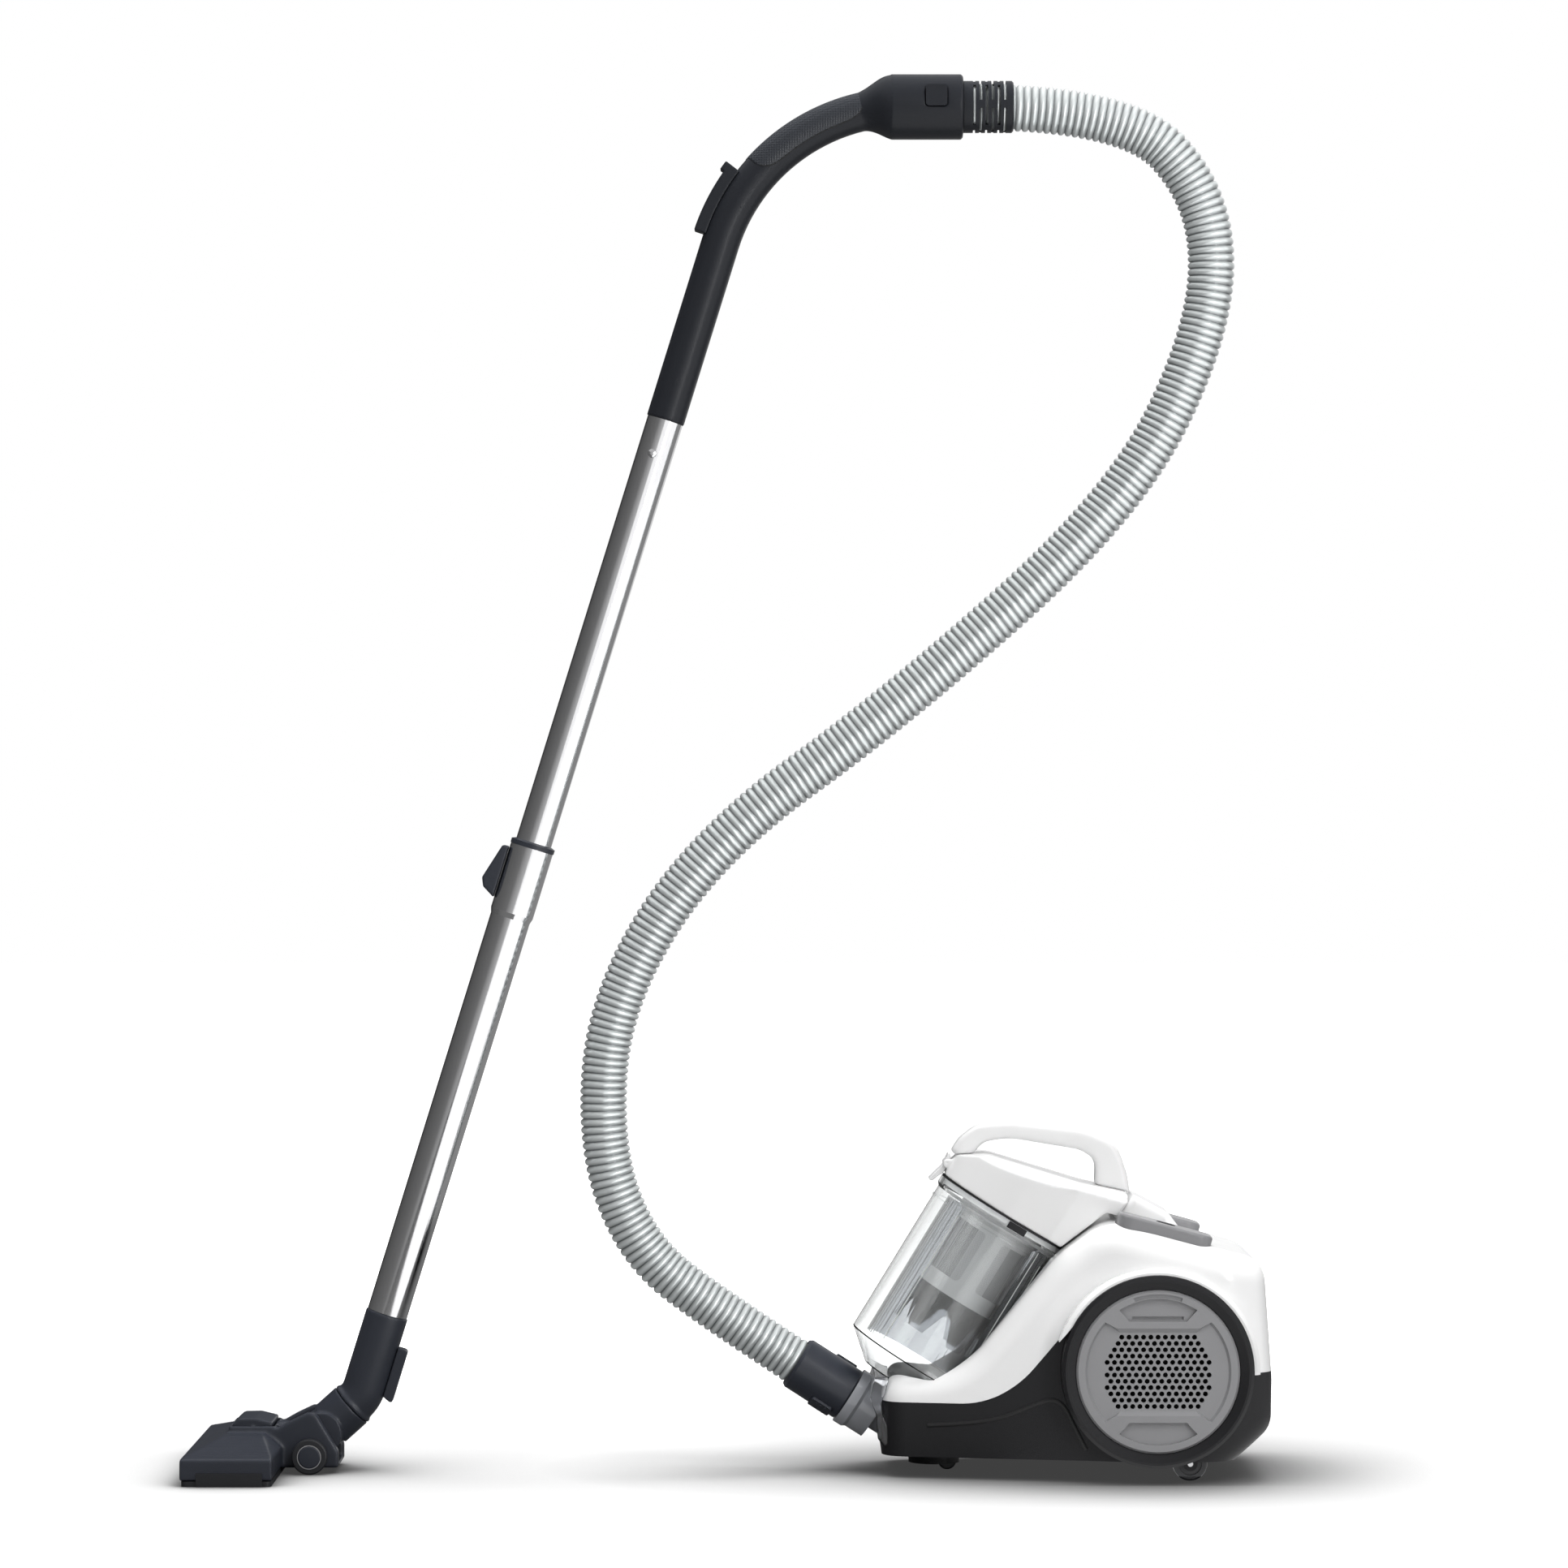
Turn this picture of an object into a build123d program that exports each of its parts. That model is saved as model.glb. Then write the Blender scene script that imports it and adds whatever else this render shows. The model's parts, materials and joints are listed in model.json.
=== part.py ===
# Canister vacuum cleaner with a ribbed hose, a telescopic wand and a floor nozzle
import os
from math import atan2, cos, degrees, pi, radians, sin, tan

from build123d import *

os.makedirs("parts", exist_ok=True)

# Driving dimensions, in millimetres and degrees
seat_gap = 0.3  # between pieces that sit against each other
run_gap = 0.06  # radial clearance of a turning or sliding fit
wall = 3.0  # casing wall
nose_x = 142.0  # front of the canister
rear_x = 501.0  # back of the canister
belly_z = 20.0  # underside of the canister
nose_z = 97.0  # top of the nose
deck_z = 241.0  # top of the deck behind the bin
tail_z = 203.0  # top of the back
nose_half = 66.0  # half width of the nose
flank_half = 112.0  # half width at the drums
shell_round = 26.0  # rounding of the outer casing edges
seam_gap = 0.6  # open line between the two casings
drum_x = 393.5  # drum axis, across the canister
drum_z = 103.6
grille_radius = 75.0
bezel_radius = 88.0
bezel_back = 96.0
bezel_face = 126.0
hole_radius = 2.3  # exhaust holes
hole_pitch = 6.65
bin_radius = 69.0
bin_lean = 31.5  # from upright, top towards the back
bin_x = 175.0  # centre of the lower rim of the cup
bin_z = 99.0
cup_height = 163.0
cup_wall = 2.4
lid_height = 165.0  # along the bin axis to the lower edge of the lid
inlet_dip = 32.5  # below level, towards the back
cuff_length = 58.0
cuff_radius = 25.5
hose_radius = 22.0
hose_valley = 19.4
hose_bore = 16.0
rib_count = 196
wand_lean = 17.29  # from upright, top towards the canister
wand_x = -93.3  # a point on the wand axis
wand_z = 873.5
upper_radius = 17.0
lower_radius = 19.0
tube_wall = 1.2
collar_radius = 20.5
handle_radius = 18.0
bend_radius = 182.0
socket_radius = 30.5
sleeve_radius = 24.3
elbow_rise = 42.0
elbow_radius = 22.0
elbow_length = 37.0
head_half = 133.0
wheel_radius = 16.0
nozzle_wheel_radius = 16.5
caster_radius = 8.5


def leaning(x, z, lean):
    """Sketch plane in the middle plane whose own Y runs along a leaning axis"""
    turn = radians(lean)
    return Plane(origin=(x, 0, z), x_dir=(cos(turn), 0, -sin(turn)), z_dir=(0, -1, 0))


def square_to(x, z, lean):
    """Plane square to a leaning axis"""
    turn = radians(lean)
    return Plane(origin=(x, 0, z), x_dir=(cos(turn), 0, -sin(turn)), z_dir=(sin(turn), 0, cos(turn)))


def turned(place, *points, mode=Mode.ADD):
    """Outline of radius and height turned about the place's own Y"""
    with BuildSketch(place) as outline:
        with BuildLine():
            Polyline(*points, close=True)
        make_face()
    revolve(outline.sketch, axis=Axis(place.origin, place.y_dir), mode=mode)


def slab(place, points, radius, half, mode=Mode.ADD):
    """Outline with rounded corners, made thick to both sides"""
    with BuildSketch(place) as outline:
        with BuildLine():
            FilletPolyline(*points, radius=radius, close=True)
        make_face()
    extrude(outline.sketch, amount=half, both=True, mode=mode)


def rod(start, direction, radius, length, mode=Mode.ADD):
    """Round bar from a point along a direction"""
    with BuildSketch(Plane(origin=start, z_dir=direction)) as disc:
        Circle(radius)
    extrude(disc.sketch, amount=length, mode=mode)


def block(x0, x1, y0, y1, z0, z1, mode=Mode.ADD):
    """Box between two corners"""
    with Locations(((x0 + x1) / 2, (y0 + y1) / 2, (z0 + z1) / 2)):
        Box(x1 - x0, y1 - y0, z1 - z0, mode=mode)


def finish(piece, label):
    """Name a piece and write it"""
    piece.part.label = label
    export_step(piece.part, "parts/" + label + ".step")
    solids = len(piece.part.solids())
    print(label, "solids", solids, "volume", round(piece.part.volume / 1000, 1), piece.part.is_valid)


# Axes that several pieces share
bin_turn = radians(bin_lean)
bin_up = Vector(sin(bin_turn), 0, cos(bin_turn))
bin_out = Vector(cos(bin_turn), 0, -sin(bin_turn))
bin_section = leaning(bin_x, bin_z, bin_lean)
bin_plane = square_to(bin_x, bin_z, bin_lean)
deck_front_x = 350.0
deck_slope = degrees(atan2(deck_z - tail_z, rear_x - 8 - deck_front_x))


def casing(inset, rounding):
    """Solid form of the canister body"""
    i = inset
    with BuildPart() as form:
        with BuildSketch(Plane.XZ) as side:
            with BuildLine():
                FilletPolyline(
                    (nose_x + i, belly_z + i),
                    (nose_x + i, nose_z - i),
                    (216, nose_z + 2 - i),
                    (303 + 0.77 * i, 206 - 0.64 * i),
                    (deck_front_x, deck_z - 1.1 * i),
                    (rear_x - 8 - i, tail_z - i),
                    (rear_x - i, 95),
                    (rear_x - 1 - i, 48 + i / 2),
                    (rear_x - 35 - i / 2, belly_z + i),
                    radius=[0, 0, 70, 90, 50, 0, 60, 0, 0],
                    close=True,
                )
            make_face()
        extrude(side.sketch, amount=flank_half + 20, both=True)
        with BuildSketch(Plane.XY) as plan:
            with BuildLine():
                FilletPolyline(
                    (nose_x + i, i - nose_half),
                    (330, i - flank_half + 11),
                    (375, i - flank_half),
                    (rear_x - 31, i - flank_half),
                    (rear_x + 1 - i, i - flank_half + 24),
                    (rear_x + 1 - i, flank_half - 24 - i),
                    (rear_x - 31, flank_half - i),
                    (375, flank_half - i),
                    (330, flank_half - 11 - i),
                    (nose_x + i, nose_half - i),
                    radius=[0, 150, 150, 80, 0, 0, 80, 150, 150, 0],
                    close=True,
                )
            make_face()
        extrude(plan.sketch, amount=300, mode=Mode.INTERSECT)
        fillet(form.edges().filter_by(lambda edge: edge.center().Z > belly_z + 10 + i), rounding)
    return form.part


def below_seam(lift):
    """Region under the line where the two casings meet"""
    with BuildPart() as region:
        slab(
            Plane.XZ,
            [
                (nose_x - 40, -10),
                (nose_x - 40, 69.5 + lift),
                (238, 69.5 + lift),
                (272, 92 + lift),
                (322, 152 + lift),
                (drum_x + 6, 166 + lift),
                (drum_x + 86, 100 + lift),
                (rear_x + 20, 100 + lift),
                (rear_x + 20, -10),
            ],
            [0, 0, 80, 100, 0, 0, 0, 0, 0],
            160,
        )
    return region.part


def drum_section(side):
    """Sketch plane of a drum whose own Y runs outwards along the drum axis"""
    return Plane(origin=(drum_x, 0, drum_z), x_dir=(1, 0, 0), z_dir=(0, 0, side))


body_form = casing(0, shell_round)
body_hollow = casing(wall, shell_round - 6)

# Cup outline with room around it, drawn upwards so the bin lifts out
with BuildPart() as bin_room:
    turned(
        bin_section,
        (0, -23 - run_gap),
        (43.4, -23 - run_gap),
        (bin_radius + 1.2, -0.6),
        (bin_radius + 1.2, 152),
        (bin_radius + 4, 155),
        (bin_radius + 4, 330),
        (0, 330),
    )

# Inlet axis, from the cuff down into the nose
inlet_turn = radians(inlet_dip)
inlet_dir = Vector(cos(inlet_turn), 0, -sin(inlet_turn))
inlet_start = Vector(112, 0, 69)
inlet_section = Plane(origin=inlet_start, x_dir=(sin(inlet_turn), 0, cos(inlet_turn)), z_dir=(0, 1, 0))
spout_bore = 19.76
spout_radius = 26.0
spout_seat = 30.0
spout_length = 49.5
spout_neck = 16.0

# Place of the two pedals on the sloping deck
pedal_x = 401.5
pedal_y = 74.0
pedal_z = deck_z - (pedal_x - deck_front_x) * tan(radians(deck_slope))


def pedal_place(side):
    """Plane on the deck under one pedal"""
    turn = radians(deck_slope)
    along = (cos(turn), 0, -sin(turn))
    return Plane(origin=(pedal_x, side * pedal_y, pedal_z), x_dir=along, z_dir=(sin(turn), 0, cos(turn)))


def pedal_block(place, grow, low, high, mode=Mode.ADD):
    """Rounded pedal outline between two heights over the deck"""
    with BuildSketch(place.offset(low)) as outline:
        RectangleRounded(89 + 2 * grow, 44 + 2 * grow, 14 + grow)
    extrude(outline.sketch, amount=high - low, mode=mode)


# Forms that join the upper casing: cradle of the bin, fairing behind the lid, pedal trays, drum arches
with BuildPart() as cradle:
    turned(bin_section, (0, -27), (44, -27), (bin_radius + 4, -2), (bin_radius + 4, 175), (0, 175))
    add(body_form, mode=Mode.INTERSECT)
with BuildPart() as fairing:
    slab(
        Plane.XZ,
        [(355, 229.2), (376.5, 259.6), (409, 242), (424, 222), (424, 208), (355, 208)],
        [0, 2, 16, 8, 0, 0],
        42,
    )
    fillet(fairing.edges().filter_by(lambda edge: abs(edge.center().Y) > 41), 7)
    add(body_hollow, mode=Mode.SUBTRACT)
with BuildPart() as pedal_trays:
    for side in (-1, 1):
        pedal_block(pedal_place(side), 4, -14, 0)
    add(body_form, mode=Mode.INTERSECT)
with BuildPart() as drum_arches:
    for side in (-1, 1):
        turned(
            drum_section(side),
            (bezel_radius - 2, bezel_back + 2),
            (bezel_radius + 6, bezel_back + 2),
            (bezel_radius + 6, bezel_face - 11),
            (bezel_radius + 2.5, bezel_face - 7),
            (bezel_radius - 2, bezel_face - 7),
        )
    add(below_seam(seam_gap), mode=Mode.SUBTRACT)
    add(body_hollow, mode=Mode.SUBTRACT)

# Upper casing, white
with BuildPart() as upper_shell:
    add(body_form)
    add(body_hollow, mode=Mode.SUBTRACT)
    add(below_seam(seam_gap), mode=Mode.SUBTRACT)
    add(cradle.part)
    add(fairing.part)
    add(pedal_trays.part)
    for side in (-1, 1):
        pedal_block(pedal_place(side), 0.8, -11, 30, mode=Mode.SUBTRACT)
        rod(pedal_place(side).origin, pedal_place(side).z_dir * -1, 6.4, 40, mode=Mode.SUBTRACT)
    add(bin_room.part, mode=Mode.SUBTRACT)
    add(drum_arches.part)
    for side in (-1, 1):
        spot = (drum_x, side * bezel_back, drum_z)
        rod(spot, (0, side, 0), bezel_radius + seat_gap, 60, mode=Mode.SUBTRACT)
    rod((rear_x - 40, 0, 140), (1, 0, 0), 8 + run_gap, 60, mode=Mode.SUBTRACT)
    port_start = Vector(bin_x, 0, bin_z) + bin_up * 60 + bin_out * 40
    rod(port_start, bin_out, 12, 45, mode=Mode.SUBTRACT)
    rod(inlet_start, inlet_dir, spout_radius + seat_gap, spout_seat + 1, mode=Mode.SUBTRACT)
    rod(inlet_start, inlet_dir, spout_neck + seat_gap, spout_length, mode=Mode.SUBTRACT)
finish(upper_shell, "upper_shell")

# Base casing, charcoal, with wheel legs, caster boss and screw bosses
rear_wheel_x = 425.0
rear_wheel_y = 83.0
rear_wheel_width = 10.0
caster_x = 192.0
caster_disc = 24.0
caster_trail = 12.0
screw_spots = [(165, -48), (165, 48), (300, -80), (300, 80), (455, -60), (455, 60)]
with BuildPart() as base_shell:
    add(body_form)
    add(body_hollow, mode=Mode.SUBTRACT)
    add(below_seam(0), mode=Mode.INTERSECT)
    rod((caster_x, 0, belly_z), (0, 0, 1), 10, 22)
    rod((caster_x, 0, belly_z - 1), (0, 0, 1), 5 + run_gap, 40, mode=Mode.SUBTRACT)
    for x, y in screw_spots:
        rod((x, y, belly_z), (0, 0, 1), 6, 17)
        rod((x, y, belly_z - 1), (0, 0, 1), 4.3, 3.8, mode=Mode.SUBTRACT)
        rod((x, y, belly_z), (0, 0, 1), 2 + run_gap, 14.5, mode=Mode.SUBTRACT)
    for side in (-1, 1):
        y_mid = side * rear_wheel_y
        well = rear_wheel_width / 2 + 1.5
        with Locations((rear_wheel_x, y_mid, belly_z + 8)):
            Box(2 * wheel_radius + 10, 2 * well + 5, 16)
        with Locations((rear_wheel_x, y_mid, belly_z + 3)):
            Box(2 * wheel_radius + 5, 2 * well, 20, mode=Mode.SUBTRACT)
        for leg in (-1, 1):
            with Locations((rear_wheel_x, y_mid + leg * (well + 2), belly_z - 1)):
                Box(13, 4, 10)
            rod((rear_wheel_x, y_mid + leg * (well + 4), wheel_radius), (0, -leg, 0), 6.5, 4)
        rod((rear_wheel_x, y_mid - 15, wheel_radius), (0, 1, 0), 2.52, 30, mode=Mode.SUBTRACT)
    for side in (-1, 1):
        spot = (drum_x, side * bezel_back, drum_z)
        rod(spot, (0, side, 0), bezel_radius + seat_gap, 60, mode=Mode.SUBTRACT)
    rod(inlet_start, inlet_dir, spout_radius + seat_gap, spout_seat + 1, mode=Mode.SUBTRACT)
    rod(inlet_start, inlet_dir, spout_neck + seat_gap, spout_length, mode=Mode.SUBTRACT)
finish(base_shell, "base_shell")

# Screws under the base
with BuildPart() as base_screws:
    for x, y in screw_spots:
        rod((x, y, belly_z + 0.2), (0, 0, 1), 4, 2.5)
        rod((x, y, belly_z + 0.2), (0, 0, 1), 2, 14)
        with Locations((x, y, belly_z + 0.7)):
            Box(5, 1, 1.2, mode=Mode.SUBTRACT)
            Box(1, 5, 1.2, mode=Mode.SUBTRACT)
finish(base_screws, "base_screws")

# Dark bezels round the exhaust grilles, each with a stop flange behind the grille
grille_back = 113.0
grille_front = 122.0
for side, name in ((-1, "left"), (1, "right")):
    with BuildPart() as bezel:
        turned(
            drum_section(side),
            (grille_radius + 0.5, bezel_back),
            (bezel_radius, bezel_back),
            (bezel_radius, bezel_face - 3),
            (bezel_radius - 3, bezel_face),
            (bezel_radius - 5, bezel_face),
            (grille_radius + 0.5, bezel_face - 5),
            (grille_radius + 0.5, grille_back - 0.3),
            (grille_radius - 8, grille_back - 0.3),
            (grille_radius - 8, grille_back - 3.8),
            (grille_radius + 0.5, grille_back - 3.8),
        )
    finish(bezel, "bezel_" + name)

# Exhaust grilles that twist off, each with a dished hole field, two finger recesses and an arc slot
row_step = hole_pitch * 0.866
dish_depth = 3.0
finger_depth = 4.5
finger_radius = 67.0
finger_half = 35.7
finger_low = 46.3
finger_low_half = 26.4
key_slot_height = 49.0
key_slot_length = 47.0
key_slot_width = 3.0
arc_slot_radius = 69.4
arc_slot_spread = 18.3
arc_slot_width = 3.6


def dish_outline(place, half, low, radius, spread):
    """Outline of the hole field: level above and below, round at both sides"""
    turn = radians(spread)
    x = radius * cos(turn)
    y = radius * sin(turn)
    with BuildSketch(place) as outline:
        with BuildLine():
            Polyline((-x, y), (-half, low), (half, low), (x, y))
            ThreePointArc((x, y), (radius, 0), (x, -y))
            Polyline((x, -y), (half, -low), (-half, -low), (-x, -y))
            ThreePointArc((-x, -y), (-radius, 0), (-x, y))
        make_face()
    return outline.sketch


for side, name in ((-1, "left"), (1, "right")):
    face = Plane(origin=(drum_x, side * grille_front, drum_z), x_dir=(1, 0, 0), z_dir=(0, side, 0))
    rise = 1 if side < 0 else -1
    with BuildPart() as dish:
        rim = dish_outline(face.offset(1), 39.0, 41.3, 67.4, 43.0)
        bed = dish_outline(face.offset(-dish_depth), 35.0, 36.0, 64.6, 43.8)
        loft([rim, bed])
    with BuildPart() as grille:
        turned(
            drum_section(side),
            (0, grille_back),
            (grille_radius, grille_back),
            (grille_radius, grille_front - 2),
            (grille_radius - 2, grille_front),
            (0, grille_front),
        )
        add(dish.part, mode=Mode.SUBTRACT)
        for end in (-1, 1):
            low = end * finger_low
            high = end * (finger_radius ** 2 - finger_half ** 2) ** 0.5
            with BuildSketch(face) as recess:
                with BuildLine():
                    Polyline((-finger_half, high), (-finger_low_half, low), (finger_low_half, low))
                    Line((finger_low_half, low), (finger_half, high))
                    ThreePointArc((finger_half, high), (0, end * finger_radius), (-finger_half, high))
                make_face()
            extrude(recess.sketch, amount=-finger_depth, mode=Mode.SUBTRACT)
        with BuildSketch(face) as slots:
            with Locations((0, rise * key_slot_height)):
                Rectangle(key_slot_length, key_slot_width)
        extrude(slots.sketch, amount=-7, mode=Mode.SUBTRACT)
        reach = grille_radius * tan(radians(arc_slot_spread))
        with BuildSketch(face) as arc_slot:
            Circle(arc_slot_radius + arc_slot_width / 2)
            Circle(arc_slot_radius - arc_slot_width / 2, mode=Mode.SUBTRACT)
            with BuildLine():
                Polyline((0, 0), (reach, rise * grille_radius), (-reach, rise * grille_radius), close=True)
            make_face(mode=Mode.INTERSECT)
        extrude(arc_slot.sketch, amount=-2, mode=Mode.SUBTRACT)
        with BuildSketch(face) as holes:
            for row in range(12):
                count = min(11 + row, 15 - row % 2, 23 - row)
                with Locations((0, rise * (5.5 - row) * row_step)):
                    with GridLocations(hole_pitch, 1, count, 1):
                        Circle(hole_radius)
        extrude(holes.sketch, amount=-20, mode=Mode.SUBTRACT)
    finish(grille, "exhaust_grille_" + name)

# Exhaust filter behind the left grille, a pleated pack in a round frame
with BuildPart() as exhaust_filter:
    turned(
        drum_section(-1),
        (0, bezel_back + 1),
        (grille_radius, bezel_back + 1),
        (grille_radius, grille_back - 4.1),
        (0, grille_back - 4.1),
    )
    with BuildSketch(Plane(origin=(drum_x, 4.1 - grille_back, drum_z), z_dir=(0, -1, 0))) as pleats:
        with GridLocations(7, 1, 17, 1):
            Rectangle(2.6, 110)
        Circle(grille_radius - 8, mode=Mode.INTERSECT)
    extrude(pleats.sketch, amount=-6, mode=Mode.SUBTRACT)
finish(exhaust_filter, "exhaust_filter")

# Motor in the middle of the drum
can_radius = 46.0
can_left = -76.0
can_right = 30.0
shaft_radius = 4.0
with BuildPart() as motor_housing:
    rod((drum_x, can_left, drum_z), (0, 1, 0), can_radius, can_right - can_left)
    can_room = can_right - can_left - 5
    rod((drum_x, can_left + 2.5, drum_z), (0, 1, 0), can_radius - 2.5, can_room, mode=Mode.SUBTRACT)
    rod((drum_x, can_left - 1, drum_z), (0, 1, 0), shaft_radius + run_gap, 130, mode=Mode.SUBTRACT)
    for turn in range(6):
        angle = radians(60 * turn)
        spot = (drum_x + 28 * cos(angle), can_left - 1, drum_z + 28 * sin(angle))
        rod(spot, (0, 1, 0), 7, 5, mode=Mode.SUBTRACT)
finish(motor_housing, "motor_housing")
with BuildPart() as motor_armature:
    rod((drum_x, can_left - 5, drum_z), (0, 1, 0), shaft_radius, can_right - can_left + 10)
    rod((drum_x, -36, drum_z), (0, 1, 0), 20, 44)
    rod((drum_x, 8, drum_z), (0, 1, 0), 12, 12)
finish(motor_armature, "motor_armature")
with BuildPart() as motor_fan:
    rod((drum_x, -70, drum_z), (0, 1, 0), 40, 2)
    rod((drum_x, -52, drum_z), (0, 1, 0), 40, 2)
    rod((drum_x, -70, drum_z), (0, 1, 0), 10, 20)
    for turn in range(9):
        with BuildSketch(Plane(origin=(drum_x, -69, drum_z), z_dir=(0, 1, 0))) as vane:
            with Locations(Rotation(0, 0, 40 * turn)):
                with Locations((23, 4)):
                    Rectangle(30, 1.6)
        extrude(vane.sketch, amount=18)
    rod((drum_x, -75, drum_z), (0, 1, 0), shaft_radius + 0.02, 40, mode=Mode.SUBTRACT)
finish(motor_fan, "motor_fan")
mount_width = 8.0
with BuildPart() as motor_mounts:
    for spot in (-60, 20):
        rod((drum_x, spot - mount_width / 2, drum_z), (0, 1, 0), can_radius + 4, mount_width)
    rod((drum_x, -80, drum_z), (0, 1, 0), can_radius + 0.1, 120, mode=Mode.SUBTRACT)
finish(motor_mounts, "motor_mounts")
floor_z = belly_z + wall

# Inner frame that carries the motor and the cord reel
with BuildPart() as inner_frame:
    block(drum_x - 48, drum_x + 48, -66, 54, floor_z + 0.2, floor_z + 4.2)
    for spot in (-60, 20):
        half = mount_width / 2
        block(drum_x - 44, drum_x + 44, spot - half, spot + half, floor_z + 4.2, drum_z - 12)
    rod((drum_x, -90, drum_z), (0, 1, 0), can_radius + 4.2, 126, mode=Mode.SUBTRACT)
    block(drum_x - 34, drum_x + 34, 38, 42, floor_z + 0.2, drum_z + 20)
    rod((drum_x, 42, drum_z), (0, 1, 0), 6, 46)
finish(inner_frame, "inner_frame")

# Cord reel beside the motor
with BuildPart() as cord_reel:
    rod((drum_x, 46, drum_z), (0, 1, 0), 66, 2.5)
    rod((drum_x, 80, drum_z), (0, 1, 0), 66, 2.5)
    rod((drum_x, 46, drum_z), (0, 1, 0), 34, 36)
    rod((drum_x, 45, drum_z), (0, 1, 0), 6 + run_gap, 60, mode=Mode.SUBTRACT)
finish(cord_reel, "cord_reel")
with BuildPart() as cord_outlet:
    rod((rear_x - 12, 0, 140), (1, 0, 0), 8, 11)
    rod((rear_x - 2, 0, 140), (1, 0, 0), 11, 2.2)
    rod((rear_x - 20, 0, 140), (1, 0, 0), 4.5, 40, mode=Mode.SUBTRACT)
finish(cord_outlet, "cord_outlet")

# Pedals with their stems, the switch and the reel latch that they press
for side, name, under in ((-1, "power_pedal", "power_switch"), (1, "rewind_pedal", "rewind_latch")):
    place = pedal_place(side)
    down = place.z_dir * -1
    with BuildPart() as pedal:
        pedal_block(place, 0, -6, 8.5)
        fillet(pedal.edges().filter_by(lambda edge: place.to_local_coords(edge.center()).Z > 8), 3)
        rod(place.origin + down * 5, down, 6, 17)
    finish(pedal, name)
    with BuildPart() as switch:
        with BuildSketch(place.offset(-14.3)) as outline:
            Rectangle(28, 20)
        extrude(outline.sketch, amount=-20)
        rod(place.origin + down * 14, down, 6.8, 14, mode=Mode.SUBTRACT)
    finish(switch, under)

# Wheels of the canister
with BuildPart() as caster_fork:
    rod((caster_x, 0, 7), (0, 0, 1), caster_disc, belly_z - 7 - 0.4)
    rod((caster_x, 0, belly_z - 1), (0, 0, 1), 5, 24)
    block(caster_x + caster_trail - 10, caster_x + caster_trail + 14, -6.6, 6.6, 0, 18.2, mode=Mode.SUBTRACT)
    rod((caster_x + caster_trail, -18, caster_radius), (0, 1, 0), 2.02, 36, mode=Mode.SUBTRACT)
finish(caster_fork, "caster_fork")
with BuildPart() as caster_axle:
    rod((caster_x + caster_trail, -14, caster_radius), (0, 1, 0), 2, 28)
finish(caster_axle, "caster_axle")
with BuildPart() as caster_wheel:
    rod((caster_x + caster_trail, -6, caster_radius), (0, 1, 0), caster_radius, 12)
    fillet(caster_wheel.edges(), 1.5)
    rod((caster_x + caster_trail, -7, caster_radius), (0, 1, 0), 2 + run_gap, 14, mode=Mode.SUBTRACT)
finish(caster_wheel, "caster_wheel")
for side, name in ((-1, "left"), (1, "right")):
    y_mid = side * rear_wheel_y
    half = rear_wheel_width / 2
    with BuildPart() as wheel:
        rod((rear_wheel_x, y_mid - half, wheel_radius), (0, 1, 0), wheel_radius, rear_wheel_width)
        fillet(wheel.edges(), 1.8)
        rod((rear_wheel_x, y_mid + side * (half + 1), wheel_radius), (0, -side, 0), 11, 3, mode=Mode.SUBTRACT)
        rod((rear_wheel_x, y_mid - 10, wheel_radius), (0, 1, 0), 2.5 + run_gap, 20, mode=Mode.SUBTRACT)
    finish(wheel, "rear_wheel_" + name)
with BuildPart() as rear_axles:
    for side in (-1, 1):
        rod((rear_wheel_x, side * rear_wheel_y - 10, wheel_radius), (0, 1, 0), 2.5, 20)
finish(rear_axles, "rear_axles")

# Inlet spout and the duct that leads to the bin
with BuildPart() as inlet_spout:
    turned(
        inlet_section,
        (spout_bore, 0),
        (spout_radius + 2, 0),
        (spout_radius + 2, 9),
        (spout_radius, 12),
        (spout_radius, spout_seat),
        (spout_neck, spout_seat + 0.5),
        (spout_neck, spout_length),
        (11, spout_length),
        (11, spout_seat - 1),
        (spout_bore, spout_seat - 1),
    )
finish(inlet_spout, "inlet_spout")
duct_end = Vector(bin_x, 0, bin_z) + bin_up * 60 + bin_out * (bin_radius + 4.4)
duct_knee = duct_end + bin_out * 34
duct_start = inlet_start + inlet_dir * (spout_length + seat_gap)
duct_z = floor_z + 15
with BuildPart() as inlet_duct:
    with BuildLine() as duct_path:
        FilletPolyline(
            duct_start,
            duct_start + inlet_dir * 9,
            (caster_x - 10, 31, duct_z),
            (caster_x + 48, 31, duct_z),
            (duct_knee.X + 2, 0, duct_z + 2),
            duct_knee,
            duct_end,
            radius=[14.4, 20, 20, 20, 20],
        )
    with BuildSketch(Plane(origin=duct_start, z_dir=inlet_dir)) as duct_skin:
        Circle(13)
    sweep(duct_skin.sketch, path=duct_path.wire())
    with BuildSketch(Plane(origin=duct_start, z_dir=inlet_dir)) as duct_bore:
        Circle(11)
    sweep(duct_bore.sketch, path=duct_path.wire(), mode=Mode.SUBTRACT)
finish(inlet_duct, "inlet_duct")

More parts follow.
